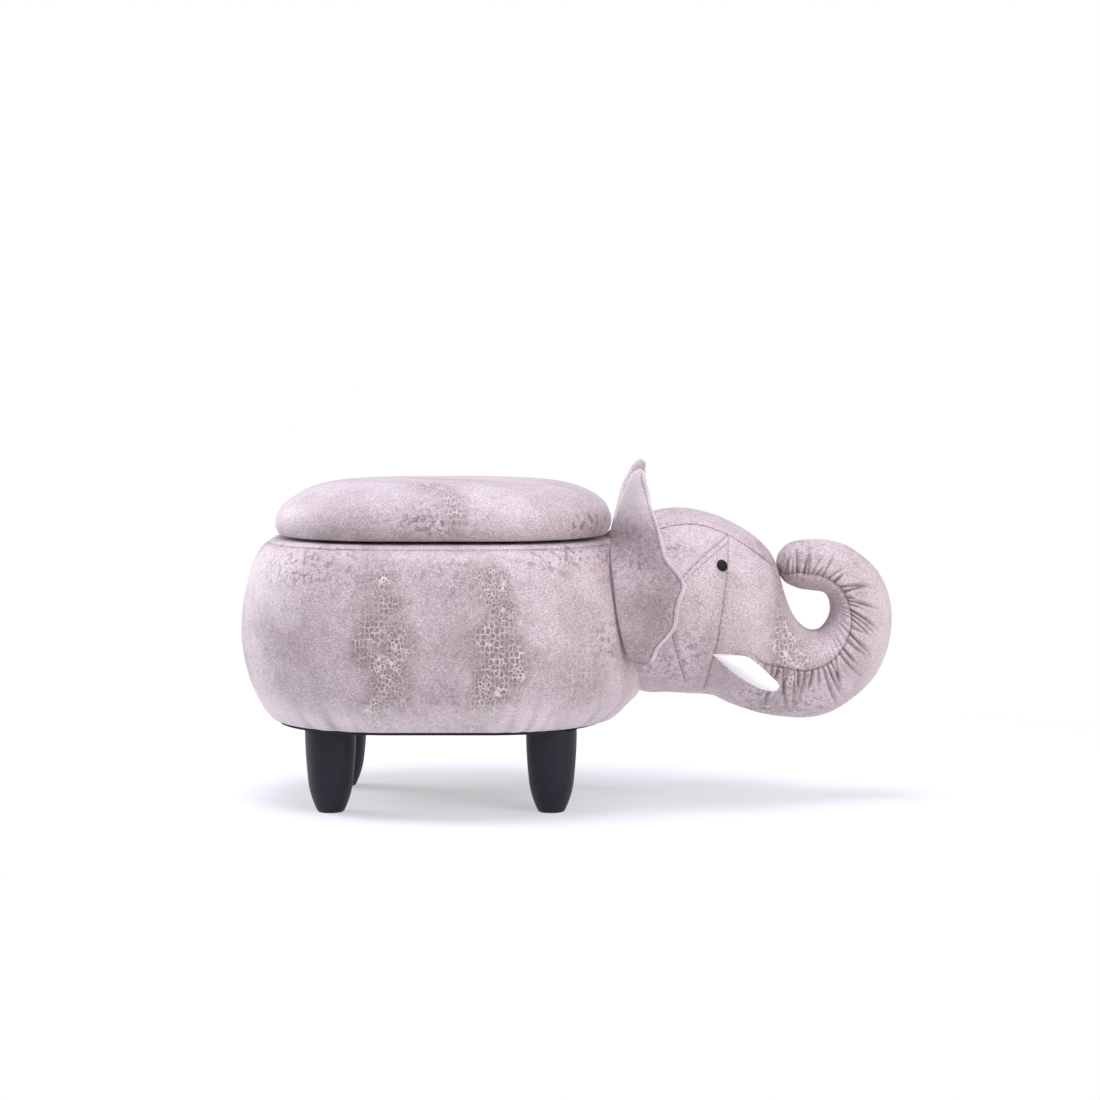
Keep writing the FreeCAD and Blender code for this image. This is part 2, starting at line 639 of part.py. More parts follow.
lid_cover = lid_form(0.0, LID_BOTTOM, SEAT_HEIGHT)
lid_cover = lid_cover.cut(lid_form(COVER_T, LID_BOARD_BOTTOM, SEAT_HEIGHT - COVER_T)).cut(lid_opening)
lid_lining = slab(
    LID_LENGTH - 2 * LID_TUCK - 2 * COVER_TURN_IN - 2 * SOFT_CLEAR,
    LID_UNDER_WIDTH - 2 * COVER_TURN_IN - 2 * SOFT_CLEAR,
    LID_CORNER_R - LID_TUCK - COVER_TURN_IN - SOFT_CLEAR, LID_BOTTOM, LID_BOARD_BOTTOM)

# Eyes: place and direction from the head's skin
eye_x = TUB_X + EYE_AHEAD
head_skin = stuffed_form(head_stations(), 0.0)
eye_y = skin_y(head_skin, eye_x, EYE_Z)
slope_x = (skin_y(head_skin, eye_x + EYE_D, EYE_Z) - skin_y(head_skin, eye_x - EYE_D, EYE_Z)) / (2 * EYE_D)
slope_z = (skin_y(head_skin, eye_x, EYE_Z + EYE_D) - skin_y(head_skin, eye_x, EYE_Z - EYE_D)) / (2 * EYE_D)
eye_axis = V(-slope_x, 1, -slope_z).normalize()
eye_seat = V(eye_x, eye_y, EYE_Z) + eye_axis * SOFT_CLEAR
washer_seat = V(eye_x, eye_y, EYE_Z) - eye_axis * (COVER_T + WASHER_T + SOFT_CLEAR)


def eye_button():
    """Domed button with its shank."""
    dome_r = (EYE_D * EYE_D / 4 + EYE_DOME * EYE_DOME) / (2 * EYE_DOME)
    ball = Part.makeSphere(dome_r, eye_seat - eye_axis * (dome_r - EYE_DOME))
    keep = Part.makeCylinder(EYE_D, EYE_DOME + dome_r, eye_seat, eye_axis)
    return ball.common(keep).fuse(eye_shank(0.0)).removeSplitter()


def eye_shank(clear):
    """Shank of the button, into the head."""
    return Part.makeCylinder(EYE_SHANK_D / 2 + clear, EYE_SHANK_LENGTH + clear, eye_seat, eye_axis * -1)


def washer(clear):
    """Round washer behind the cover."""
    return Part.makeCylinder(
        WASHER_D / 2 + clear, WASHER_T + 2 * clear, washer_seat - eye_axis * clear, eye_axis)


eye_left = eye_button()
washer_left = washer(0.0).cut(eye_shank(HOLE_CLEAR))
eye_room = eye_shank(HOLE_CLEAR).fuse(washer(SOFT_CLEAR))
eye_rooms = Part.makeCompound([eye_room, mirrored(eye_room)])

# Head and trunk: stuffing inside covers, cut by the tub that they meet
head_cover = sleeve(head_stations(), head_stations(), True).cut(tub_outside)
head_cover = head_cover.cut(Part.makeCompound([eye_shank(HOLE_CLEAR), mirrored(eye_shank(HOLE_CLEAR))]))
head_stuffing = stuffed_form(head_stations(), WOOD_INSET).cut(tub_outside)
head_stuffing = head_stuffing.cut(neck_block(SOFT_CLEAR)).cut(eye_rooms)
trunk_cover = sleeve(trunk_stations(0.0), trunk_stations(COVER_T), False)
trunk_fill_inset = COVER_T + TRUNK_FILL_CLEAR
trunk_stuffing = stuffed_form(trunk_stations(trunk_fill_inset), trunk_fill_inset)


def ear():
    """Left ear: thin flap, a rounded bar from the root to the free edge at each height."""
    wires = []
    for (rise, root_x, edge_x, spread), root_y in zip(EAR_STATIONS, EAR_ROOT_SPREAD):
        z = EAR_BOTTOM_Z + rise
        root = V(TUB_X + root_x, root_y, z)
        edge = V(TUB_X + edge_x, spread, z)
        along = (edge - root).normalize()
        half = V(-along.y, along.x, 0) * (EAR_T / 2)
        tip = along * EAR_TIP_BULGE
        wires.append(Part.Wire([
            Part.makeLine(root + half, edge + half),
            Part.Arc(edge + half, edge + tip, edge - half).toShape(),
            Part.makeLine(edge - half, root - half),
            Part.Arc(root - half, root - tip, root + half).toShape(),
        ]))
    return Part.makeLoft(wires, True).cut(head_outside).cut(tub_outside)


def tusk():
    """Left tusk: leaf-shaped stuffed form that swells past its root and tapers to a blunt tip."""
    root = V(TUB_X + TUSK_ROOT_AHEAD, TUSK_ROOT_SPREAD, TUSK_ROOT_Z)
    tip = V(TUB_X + TUSK_TIP_AHEAD, TUSK_TIP_SPREAD, TUSK_TIP_Z)
    along = (tip - root).normalize()
    rise = UP - along * UP.dot(along)
    rise.normalize()
    wires = []
    for index, half_height in enumerate(TUSK_HALF_HEIGHTS):
        centre = root + (tip - root) * (index / (len(TUSK_HALF_HEIGHTS) - 1))
        level = V(0, centre.y, 0)
        flat = centre - level
        wire = oval(flat + rise * half_height, flat - rise * half_height, half_height * TUSK_FLATNESS, 0.0)
        wire.translate(level)
        wires.append(wire)
    return Part.makeLoft(wires, True).cut(head_outside).cut(trunk_outside)


ear_left = ear()
tusk_left = tusk()

os.makedirs("parts", exist_ok=True)
save("base_board", base_board.cut(box_holes).cut(insert_holes))
for name, panel in panels.items():
    save(name, panel.cut(box_holes))
for side in ("front", "rear", "left", "right"):
    rail = rim.common(wedge(bay_half_x, bay_half_y, side, RAIL_BOTTOM, RAIL_TOP))
    save("rim_rail_" + side, rail.cut(box_holes))
    foam = foam_form.common(wedge(box_half_x, box_half_y, side, BASE_BOTTOM, RAIL_TOP))
    save("foam_" + side, foam.cut(Part.makeCompound(foam_room)))
save("base_screws", Part.makeCompound(base_screws))
save("rail_screws", Part.makeCompound(rail_screws))
save("body_cover", body_cover)
save("box_lining", box_lining)
save("dust_cover", dust_cover.cut(bolt_holes))
for name, centre in legs:
    save(name, leg(centre))
save("leg_bolts", Part.makeCompound([leg_bolt(centre) for name, centre in legs]))
save("leg_inserts", Part.makeCompound([insert.cut(bolt_holes) for insert in inserts]))
for end, middle in hinge_middles():
    save("hinge_tub_leaf_" + end, hinge_leaf(middle, False))
    save("hinge_lid_leaf_" + end, hinge_leaf(middle, True))
    save("hinge_pin_" + end, hinge_pin(middle))
for hand, on_lid in (("tub", False), ("lid", True)):
    screws = []
    for end, middle in hinge_middles():
        screws += leaf_screws(middle, on_lid)
    save("hinge_" + hand + "_screws", Part.makeCompound(screws))
save("rim_bumpers", Part.makeCompound(bumpers))
save("neck_block", neck_block().cut(box_holes))
save("neck_screws", Part.makeCompound(neck_screws()))
save("lid_board", lid_board.cut(lid_screw_holes))
save("lid_foam", lid_foam)
save("lid_cover", lid_cover.cut(lid_screw_holes))
save("lid_lining", lid_lining.cut(lid_screw_holes))
save("head_stuffing", head_stuffing)
save("head_cover", head_cover)
save("trunk_stuffing", trunk_stuffing)
save("trunk_cover", trunk_cover)
for name, left in (("ear", ear_left), ("tusk", tusk_left), ("eye", eye_left)):
    save(name + "_left", left)
    save(name + "_right", mirrored(left))
save("eye_washers", Part.makeCompound([washer_left, mirrored(washer_left)]))
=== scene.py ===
# %% [markdown]
# # An elephant ottoman
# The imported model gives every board, hinge and leg its place. This lesson dresses it: a padded tub, a crowned
# lid and a stuffed head with a curled trunk, all under distressed leatherette. Each piece is drawn where it
# stands, in millimetres, so nothing has to be moved or fitted afterwards.

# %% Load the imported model
import json
import math
import bpy
import numpy as np
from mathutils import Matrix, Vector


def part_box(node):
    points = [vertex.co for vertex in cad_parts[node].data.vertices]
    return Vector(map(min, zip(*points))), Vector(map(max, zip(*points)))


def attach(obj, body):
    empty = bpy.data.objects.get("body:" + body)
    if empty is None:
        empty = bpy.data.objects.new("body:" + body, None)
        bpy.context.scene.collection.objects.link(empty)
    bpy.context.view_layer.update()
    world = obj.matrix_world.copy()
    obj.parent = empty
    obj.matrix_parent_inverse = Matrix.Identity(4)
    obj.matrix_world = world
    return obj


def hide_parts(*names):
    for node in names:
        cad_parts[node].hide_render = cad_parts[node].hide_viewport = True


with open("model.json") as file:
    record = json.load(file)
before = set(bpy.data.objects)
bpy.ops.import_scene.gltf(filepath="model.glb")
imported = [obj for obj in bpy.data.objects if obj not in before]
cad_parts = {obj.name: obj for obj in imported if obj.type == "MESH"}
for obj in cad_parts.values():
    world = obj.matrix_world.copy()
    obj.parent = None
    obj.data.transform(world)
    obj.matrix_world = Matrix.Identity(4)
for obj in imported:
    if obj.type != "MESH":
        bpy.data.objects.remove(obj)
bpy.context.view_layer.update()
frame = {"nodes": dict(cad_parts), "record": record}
MM = 0.001


def span(node):
    """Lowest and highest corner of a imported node, in millimetres."""
    low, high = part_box(node)
    return np.array(low) / MM, np.array(high) / MM


# %% [markdown]
# ## Camera
# The seat was photographed from its right side with a long lens, a little above the lid and tipped down four
# degrees. The distance comes from how much smaller the far legs look than the near ones.

# %% Camera
CAMERA_AT, TIPPED_DOWN, LENS = (-0.0210, -3.1206, 0.5000), 4.105, 92.65
camera_data = bpy.data.cameras.new("camera")
camera = bpy.data.objects.new("camera", camera_data)
bpy.context.scene.collection.objects.link(camera)
camera.location = CAMERA_AT
camera.rotation_euler = (math.radians(90 - TIPPED_DOWN), 0, 0)
camera_data.sensor_width = 36.0
camera_data.lens = LENS
camera_data.clip_end = 60.0
bpy.context.scene.camera = camera
print("camera at", CAMERA_AT, "lens", LENS)

# %% [markdown]
# ## Nodes and colours
# A material is a small network. One function adds a node, sets its inputs and links what is already a socket,
# and one turns a colour as a designer writes it, sRGB hex, into the linear values that shading works in. Two
# short ones stand for the nodes that do sums and carry a value from one range to another.

# %% Node and colour helpers
def linear(code):
    """Linear RGBA of an sRGB hex colour: each channel through the sRGB curve."""
    srgb = np.array([int(code[i:i + 2], 16) for i in (1, 3, 5)]) / 255
    rgb = np.where(srgb <= 0.04045, srgb / 12.92, ((srgb + 0.055) / 1.055) ** 2.4)
    return (*rgb.tolist(), 1.0)


def add(tree, kind, inputs=None, **settings):
    """Add a node, set its properties, and give each input a constant or a link from a socket."""
    node = tree.nodes.new(kind)
    for key, value in settings.items():
        setattr(node, key, value)
    for key, value in (inputs or {}).items():
        if isinstance(value, bpy.types.NodeSocket):
            tree.links.new(value, node.inputs[key])
        else:
            node.inputs[key].default_value = value
    return node


def remap(tree, value, low, high, start=0.0, end=1.0, smooth=False):
    """A value carried from one range to another and held at its ends, straight or along an S."""
    inputs = {0: value, 1: low, 2: high, 3: start, 4: end}
    kind = "SMOOTHSTEP" if smooth else "LINEAR"
    return add(tree, "ShaderNodeMapRange", inputs, interpolation_type=kind).outputs[0]


def calc(tree, operation, *values, clamp=False):
    """Result of one sum on sockets and numbers."""
    return add(tree, "ShaderNodeMath", dict(enumerate(values)), operation=operation, use_clamp=clamp).outputs[0]


print("pink grey", [round(c, 3) for c in linear("#CDBDC3")])

# %% [markdown]
# ## Studio
# A white paper sweep lit from below, a large soft lamp overhead, one behind on the left that brightens the
# round end, and a smaller one in front of the head. The paper goes to pure white away from the seat and keeps
# the shadow under it.

# %% Floor, world and lamps
scene = bpy.context.scene
scene.view_settings.view_transform = "Standard"

world = bpy.data.worlds.new("studio")
scene.world = world
world.use_nodes = True
sky = world.node_tree
sky.nodes.clear()
ray = add(sky, "ShaderNodeLightPath").outputs
seen = calc(sky, "MAXIMUM", ray["Is Camera Ray"], ray["Is Transmission Ray"])
ambient = add(sky, "ShaderNodeBackground", {"Color": linear("#EFEEFC"), "Strength": 0.50})
paper = add(sky, "ShaderNodeBackground", {"Color": (1, 1, 1, 1), "Strength": 1.0})
both = add(sky, "ShaderNodeMixShader", {0: seen, 1: ambient.outputs[0], 2: paper.outputs[0]})
add(sky, "ShaderNodeOutputWorld", {"Surface": both.outputs[0]})


def lamp(name, place, aim, size, watts, code):
    """Square area lamp at a place, turned to shine at a point."""
    data = bpy.data.lights.new(name, "AREA")
    data.energy = watts
    data.size = size
    data.color = linear(code)[:3]
    light = bpy.data.objects.new(name, data)
    scene.collection.objects.link(light)
    light.location = place
    direction = np.array(aim) - np.array(place)
    flat = math.hypot(direction[0], direction[1])
    light.rotation_euler = (math.atan2(flat, -direction[2]), 0, math.atan2(-direction[0], direction[1]))


lamp("key", (-0.45, -0.4, 2.8), (-0.02, 0.03, 0.2), 1.5, 57.0, "#F4F6FF")
lamp("rim", (-2.4, 1.0, 1.1), (-0.2, 0.0, 0.2), 1.4, 54.0, "#FBFAFF")
lamp("front", (0.95, -1.0, 0.8), (0.15, -0.05, 0.2), 1.0, 11.5, "#FFFAF6")

floor_mesh = bpy.data.meshes.new("floor")
floor_mesh.from_pydata([(-9, -5, 0), (9, -5, 0), (9, 14, 0), (-9, 14, 0)], [], [(0, 1, 2, 3)])
floor = bpy.data.objects.new("floor", floor_mesh)
scene.collection.objects.link(floor)
# it gives the eye a soft shadow near the seat, where it is matt, and plain white where the light comes through
floor_paper = bpy.data.materials.new("white_paper_sweep_lit_from_below")
floor_paper.use_nodes = True
tree = floor_paper.node_tree
tree.nodes.clear()
place = add(tree, "ShaderNodeTexCoord").outputs["Object"]
near = add(tree, "ShaderNodeMapping", {"Vector": place, "Location": (-0.03, -0.17, 0), "Scale": (0.83, 1.0, 1.0)})
away = add(tree, "ShaderNodeVectorMath", {0: near.outputs[0]}, operation="LENGTH").outputs["Value"]
share = remap(tree, away, 0.40, 0.80, 0.46, 1.0, smooth=True)
matt = add(tree, "ShaderNodeBsdfDiffuse", {"Color": linear("#F1EFF9")})
glow = add(tree, "ShaderNodeEmission", {"Color": linear("#FFFFFF"), "Strength": 1.0})
paper = add(tree, "ShaderNodeMixShader", {0: share, 1: matt.outputs[0], 2: glow.outputs[0]})
add(tree, "ShaderNodeOutputMaterial", {"Surface": paper.outputs[0]})
floor_mesh.materials.append(floor_paper)

# %% [markdown]
# ## From a grid of points to a mesh
# Every soft form here is a stack of closed rings. The rings are worked out as one array of points, and this
# cell turns such an array into a mesh: quads between neighbouring rings, and either a fan of triangles at both
# ends or a last ring that joins the first. Values named in marks go to the points, for the material to read.
# Sculpting could give such forms too, but a formula gives the same ones in every run.

# %% Mesh helpers
def link_mesh(name, points, faces):
    """Smooth-shaded object from points in millimetres and lists of corners."""
    mesh = bpy.data.meshes.new(name)
    mesh.from_pydata((points * MM).tolist(), [], faces)
    mesh.polygons.foreach_set("use_smooth", np.ones(len(mesh.polygons), bool))
    mesh.update()
    piece = bpy.data.objects.new(name, mesh)
    scene.collection.objects.link(piece)
    return piece


def ring_quads(rows, columns, loop=False):
    """Corners of the quads between neighbouring rings; with loop, also from the last ring to the first."""
    i, j = np.meshgrid(np.arange(rows if loop else rows - 1), np.arange(columns), indexing="ij")
    up, k = (i + 1) % rows, (j + 1) % columns
    return np.stack([i * columns + j, i * columns + k, up * columns + k, up * columns + j], -1).reshape(-1, 4)


def make_piece(name, rings, join="poles", marks=None, crisp=180.0):
    """Mesh from rings[row, column] in millimetres; faces are turned outwards by the sign of the volume."""
    rows, columns, _ = rings.shape
    points = rings.reshape(-1, 3)
    quads = ring_quads(rows, columns, join == "loop")
    fans = np.zeros((0, 3), int)
    if join == "poles":
        points = np.vstack([points, rings[0].mean(0), rings[-1].mean(0)])
        j, first, last = np.arange(columns), np.full(columns, rows * columns), (rows - 1) * columns
        k = (j + 1) % columns
        fans = np.vstack([np.stack([first, k, j], -1), np.stack([first + 1, last + j, last + k], -1)])
    triangles = np.vstack([quads[:, [0, 1, 2]], quads[:, [0, 2, 3]], fans])
    a, b, c = (points[triangles[:, n]] for n in range(3))
    if np.einsum("ij,ij->", a, np.cross(b, c)) < 0:
        quads, fans = quads[:, ::-1], fans[:, ::-1]
    piece = link_mesh(name, points, quads.tolist() + fans.tolist())
    for key, values in (marks or {}).items():
        full = np.zeros(len(points))
        full[:rows * columns] = values.reshape(-1)
        piece.data.attributes.new(key, "FLOAT", "POINT").data.foreach_set("value", full)
    if crisp < 180:
        piece.data.set_sharp_from_angle(angle=math.radians(crisp))
    print(name, len(points), "points", len(quads) * 2 + len(fans), "triangles")
    return piece


print("a ring of four and the next:", ring_quads(2, 4).tolist())

# %% [markdown]
# The forms themselves are built from a few curves: a smooth step, a bell, and sums of bells that mark places.
# Normals say which way the skin faces, so that it can be pushed in or out.

# %% Curve helpers
def circle(count):
    """Angles once round, without the last one that repeats the first."""
    return np.linspace(0, 2 * np.pi, count, endpoint=False)


def bump(x, low, high):
    """Smooth step from 0 at low to 1 at high."""
    t = np.clip((x - low) / (high - low), 0, 1)
    return t * t * (3 - 2 * t)


def bell(x, wide):
    """Bell curve: 1 at nought, falling to 1 / e at the given width."""
    return np.exp(-(x / wide) ** 2)


def spots(form, *table):
    """Sum of bells in side view, the same on both sides: strength, x, z, width and height of each."""
    x, z = form[..., 0], form[..., 2]
    return sum(much * np.exp(-((x - at_x) / wide) ** 2 - ((z - at_z) / high) ** 2)
               for much, at_x, at_z, wide, high in table)


def unit(vectors):
    """Vectors of the same direction and of length one."""
    return vectors / np.maximum(np.linalg.norm(vectors, axis=-1, keepdims=True), 1e-9)


def normals_of(rings, loop=False):
    """Unit normals: the step round a ring crossed with the step to the next ring."""
    around = np.roll(rings, -1, 1) - np.roll(rings, 1, 1)
    along = np.roll(rings, -1, 0) - np.roll(rings, 1, 0) if loop else np.gradient(rings, axis=0)
    return unit(np.cross(around, along))


print("a step at a quarter, a half and three quarters:", bump(np.array([0.25, 0.5, 0.75]), 0, 1))

# %% [markdown]
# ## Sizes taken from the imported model
# The boards inside decide where the upholstery is, so their boxes are read from the model and not typed again.

# %% Sizes
def half_plan(low, high):
    """Half length and half width of a box."""
    return (high - low)[:2] / 2


wood_low, wood_high = span("base_board")
bay_low, bay_high = span("box_lining")
cover_low, cover_high = span("body_cover")
box_low, box_high = span("panel_left")
board_low, board_high = span("lid_board")
lid_low, lid_high = span("lid_cover")
tub_x = (wood_low[0] + wood_high[0]) / 2
wood_half, bay_half = half_plan(wood_low, wood_high), half_plan(bay_low, bay_high)
board_half, lid_half = half_plan(board_low, board_high), half_plan(lid_low, lid_high)
box_half = np.array([(box_high - box_low)[0] / 2, box_high[1]])
COVER_OUT = 1.5  # the cover's edge stands this far outside the boards
rim_half = wood_half + COVER_OUT
rim_corner, rim_z, base_z = 125.0, cover_high[2], cover_low[2]
print("tub middle", round(tub_x, 1), "rim", np.round(rim_half, 1), "lid", np.round(lid_half, 1))

# %% [markdown]
# ## Tub
# The tub is a plywood box wrapped in foam, with the cover pulled over the rim and stapled under the base. Its
# side swells like a cushion: nearly an ellipse, a little fuller towards the rim. A subdivided box would swell
# too, but rings of rounded-rectangle plan, one at each height, keep to a drawn outline. The rings go on round
# the boards inside, so that the piece is a closed body.

# %% Rings of a plan
def ring_row(half, corner, z, out=0.0):
    """One ring of a plan: half length, half width, corner and height, with the outline moved out by a distance."""
    return half[0] + out, half[1] + out, max(corner + out, 1.0), z


def plan_rings(rows, turn):
    """Rings of rounded-rectangle plan round the tub: along each direction, the distance to a side or an arc."""
    hx, hy, r, z = np.array(rows, float).T[..., None]
    c, s = np.abs(np.cos(turn))[None], np.abs(np.sin(turn))[None]
    on_x, on_y = hx / np.maximum(c, 1e-9), hy / np.maximum(s, 1e-9)
    cx, cy = hx - r, hy - r
    along = c * cx + s * cy
    on_arc = along + np.sqrt(np.maximum(along ** 2 - cx ** 2 - cy ** 2 + r ** 2, 0))
    reach = np.where(on_x * s <= cy, on_x, np.where(on_y * c <= cx, on_y, on_arc))
    x, y = tub_x + reach * np.cos(turn)[None], reach * np.sin(turn)[None]
    return np.stack([x, y, np.broadcast_to(z, x.shape)], -1)


print("first point of a square ring", plan_rings([(10, 10, 1, 0)], circle(4))[0, 0].round(1))

# %% Tub form
TUB_BULGE, SIDE_STARTS = 42.5, 2.2  # greatest swelling, and where the side starts above the base
FULL_BELOW, FULL_ABOVE = 0.60, 0.45  # powers of the swelling below and above the middle
TURNED_IN, CLOTH, GAP = 25.0, 1.1, 0.3  # cover under the base, its thickness, and air round the boards
BAY_CORNER, WOOD_CORNER = 2.0, rim_corner - 1.2


def tub_out(z):
    """How far the tub's side stands out from the rim at a height: (1 - t * t) to a power, t from -1 to 1."""
    t = np.clip((np.asarray(z, float) - (rim_z + base_z) / 2) / ((rim_z - base_z) / 2), -1, 1)
    return TUB_BULGE * (1 - t * t) ** np.where(t < 0, FULL_BELOW, FULL_ABOVE)


turn = circle(480)
swing = np.linspace(-np.pi / 2, np.pi / 2, 150)
side_z = base_z + SIDE_STARTS + (rim_z - base_z - SIDE_STARTS) * (1 + np.sin(swing)) / 2


def tub_rows():
    """Half length, half width, corner and height of every ring, once round the tub's wall."""
    rows = [ring_row(rim_half, rim_corner, base_z, -TURNED_IN * (1 - s)) for s in (0, 0.5, 0.85)]
    rows += [ring_row(rim_half, rim_corner, z, out) for out, z in zip(tub_out(side_z), side_z)]
    for s in np.linspace(0, 1, 9)[1:]:
        rows.append((*(rim_half * (1 - s) + bay_half * s), rim_corner * (1 - s) + BAY_CORNER * s, rim_z))
    wood, box = wood_half + GAP, box_half + GAP
    above, below = span("rim_rail_left")[0][2] - GAP, wood_high[2] + GAP
    rows.append((*bay_half, BAY_CORNER, rim_z - CLOTH))
    rows += [(*wood, WOOD_CORNER, z) for z in (rim_z - CLOTH, above)]
    rows += [(*box, BAY_CORNER, z) for z in (above, below)]
    rows += [(*wood, WOOD_CORNER, z) for z in (below, base_z + CLOTH)]
    rows.append(ring_row(rim_half, rim_corner, base_z + CLOTH, -TURNED_IN))
    return rows


tub_rings = plan_rings(tub_rows(), turn)
FIRST = 3  # rings under the base come before those of the skin
SKIN = slice(FIRST, FIRST + len(side_z))
NECK_Z = [92, 96, 101, 111, 118, 125, 131, 150]
NECK_OUT = [0, 10, 17, 27, 34.5, 39, 41, 43]


def drawn_to_neck(rings):
    """Under the neck the cover runs straight and slanting up to the head instead of swelling."""
    skin = rings[SKIN]
    step = np.roll(skin, -1, 1) - np.roll(skin, 1, 1)
    ahead = unit(np.stack([step[..., 1], -step[..., 0], np.zeros(step.shape[:2])], -1))
    z, wide = skin[..., 2], np.minimum(turn, 2 * np.pi - turn)[None]
    share = (1 - bump(wide, 0.45, 1.0)) * (1 - bump(z, 145, 185))
    moved = rings.copy()
    moved[SKIN] += ahead * (share * (np.interp(z, NECK_Z, NECK_OUT) - tub_out(z)))[..., None]
    return moved


tub_rings = drawn_to_neck(tub_rings)
print("tub rings", tub_rings.shape)

# %% [markdown]
# A real cover is never quite even. It is pulled into small folds where it goes round the lower corners, has a
# sewn line just under the rim, and the foam below it gives soft hollows a millimetre or two deep. A simulation
# could find folds, but not in these places. Each panel is cut from another part of the roll, so a value called
# wear says how strongly the printed crackle shows on it, and flecks where the dark pebbles are. Painted shade
# darkens the seam and the fold valleys, and painted light brightens the lower band and a strip under the rim.

# %% Tub folds and seam
SEAM_DROP = 4.6  # the sewn line lies this far below the rim


def tub_folds(rings):
    """Move the skin along its normal: hollows from a few slow waves, folds at the lower corners, the rim seam; and
    painted shade in the seam and the fold valleys.
    """
    skin = rings[SKIN]
    normal = normals_of(rings, True)[SKIN]
    normal *= np.sign(np.einsum("ijk,ijk->ij", normal, skin - [tub_x, 0, (rim_z + base_z) / 2]).mean())
    z, angle = skin[..., 2], turn[None]
    fade = bump(z, base_z, base_z + 25) * (1 - bump(z, rim_z - 25, rim_z - 4))
    hollow = 0.9 * np.sin(3 * angle + z / 38) * np.cos(5 * angle - z / 55) + 0.6 * np.sin(7 * angle + z / 21 + 1)
    corner = np.abs(np.sin(2 * angle)) ** 2
    low = bell(z - base_z, 30) * bump(z, base_z, base_z + 4)
    fold = np.sin(54 * angle + 3.5 * np.sin(7 * angle) + 1.7 * np.sin(3 * angle))
    fold = fold * (0.55 + 0.45 * np.sin(11 * angle + 1))
    seam = bell(z - (rim_z - SEAM_DROP), 1.1)
    shift = hollow * fade * 0.8 + 0.9 * corner * low * fold - 1.1 * seam
    moved = rings.copy()
    moved[SKIN] = skin + normal * shift[..., None]
    painted_shade = np.zeros(rings.shape[:2])
    # painted shade: the colour is darkened in the rim seam and in the valleys of the corner folds
    painted_shade[SKIN] = np.clip(0.28 * seam + 0.5 * corner * low * np.clip(-fold, 0, 1), 0, 1)
    return moved, painted_shade


tub_rings, tub_painted_shade = tub_folds(tub_rings)
skin_x, skin_z = tub_rings[SKIN][..., 0], tub_rings[SKIN][..., 2]
skin_x += 1.2 * bell(skin_z - 165, 60) * bump(tub_x - skin_x, 150, 215)  # the round end is a little flatter
tub_flecks = spots(tub_rings, (1.2, -272, 269, 48, 20), (0.9, 0, 276, 42, 15), (0.8, 38, 185, 16, 30))
tub_marks = {
    "painted_shade": tub_painted_shade,
    "wear": 1 - 0.6 * bump(tub_rings[..., 0], -50, 10),
    "flecks": tub_flecks * bump(np.abs(tub_rings[..., 1]), 60, 130),
    # painted light: the lower band and a strip under the rim towards the round end are made paler
    "painted_light": 0.31 * (1 - bump(tub_rings[..., 2], 106, 138)) + spots(tub_rings, (0.21, -150, 284, 110, 12)),
}
tub_cover = make_piece("tub_padded_cover", tub_rings, "loop", tub_marks, 50.0)
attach(tub_cover, "tub")
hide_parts("body_cover", "foam_front", "foam_rear", "foam_left", "foam_right")

# %% [markdown]
# ## Lid
# The lid is a board with foam on it, so it has a soft upright edge and then a crown that is flat in the middle.
# A bevelled slab would look as hard as the board, so the crown is a superellipse of the ring's share k of the
# outline: height (1 - k to the 5.5) to the 0.56.

# %% Lid form
LID_TUCK, LID_NOSE, LID_CORNER = 5.0, 16.0, 132.0  # how far the edge draws in below, its height, the plan's corner
NOSE_STARTS, LID_TURNED, LID_MIDDLE = 1.2, 25, (9.0, 8.0, 7.0)  # start of the edge, cover below, smallest ring
CROWN_FLAT, CROWN_ROUND, CROWN_DROP = 5.5, 0.56, 1.0  # powers of the crown, and how far it stays below the packed
COVER_ROW, SKIN_ROW = 5, 6  # first rings of the cover's underside and of the skin that is seen
FORWARD = 1.2  # the cushion sits this far towards the head on its board


def lid_rows():
    """Half length, half width, corner and height of every ring, from the board round the edge to the crown."""
    top, under, low = board_high[2] + GAP, board_low[2], lid_low[2]
    rows = [(*LID_MIDDLE, top)]
    rows += [(*(board_half + GAP), LID_CORNER - 6.2, z) for z in (top, under)]
    rows += [(*(lid_half - LID_TUCK - LID_TURNED), LID_CORNER - LID_TUCK - LID_TURNED, z) for z in (under, low)]
    rows.append((*(lid_half - LID_TUCK - 2), LID_CORNER - LID_TUCK - 2, low))
    for share in np.linspace(1, 0, 14)[:-1]:
        z = low + NOSE_STARTS + (LID_NOSE - NOSE_STARTS) * (1 - share)
        rows.append(ring_row(lid_half, LID_CORNER, z, -LID_TUCK * share ** 2))
    k = np.sin(np.linspace(np.pi / 2, 0.02, 70))
    rise = (lid_high[2] - CROWN_DROP - low - LID_NOSE) * (1 - k ** CROWN_FLAT) ** CROWN_ROUND
    rows += [(*(lid_half * s), LID_CORNER * s, low + LID_NOSE + h) for s, h in zip(k, rise)]
    return rows


lid_rings = plan_rings(lid_rows(), circle(360))
lid_rings[COVER_ROW:, :, 0] += FORWARD
print("lid rings", lid_rings.shape)

# %% [markdown]
# A cushion is cloth held at its edge and pushed out by what is inside. So the skin starts five millimetres too
# small, and a coarse copy of it is run as cloth under pressure for twenty frames with its lower edge held. Each
# point may move five millimetres, and the fine rings take the move over by linear interpolation on the grid. A
# block of foam inside keeps the edge up, so the blown form is mixed in by a third.

# %% Lid swelling
LID_CAP, LID_GIVE = 5.0, 0.33
COARSE, COARSE_ROWS, FRAMES, PRESSURE = 4, 40, 20, 4.0


def weights(at, knots, period=None):
    """Linear interpolation as a matrix: a row for each place, a column for each knot."""
    return np.stack([np.interp(at, knots, one, period=period) for one in np.eye(len(knots))], -1)


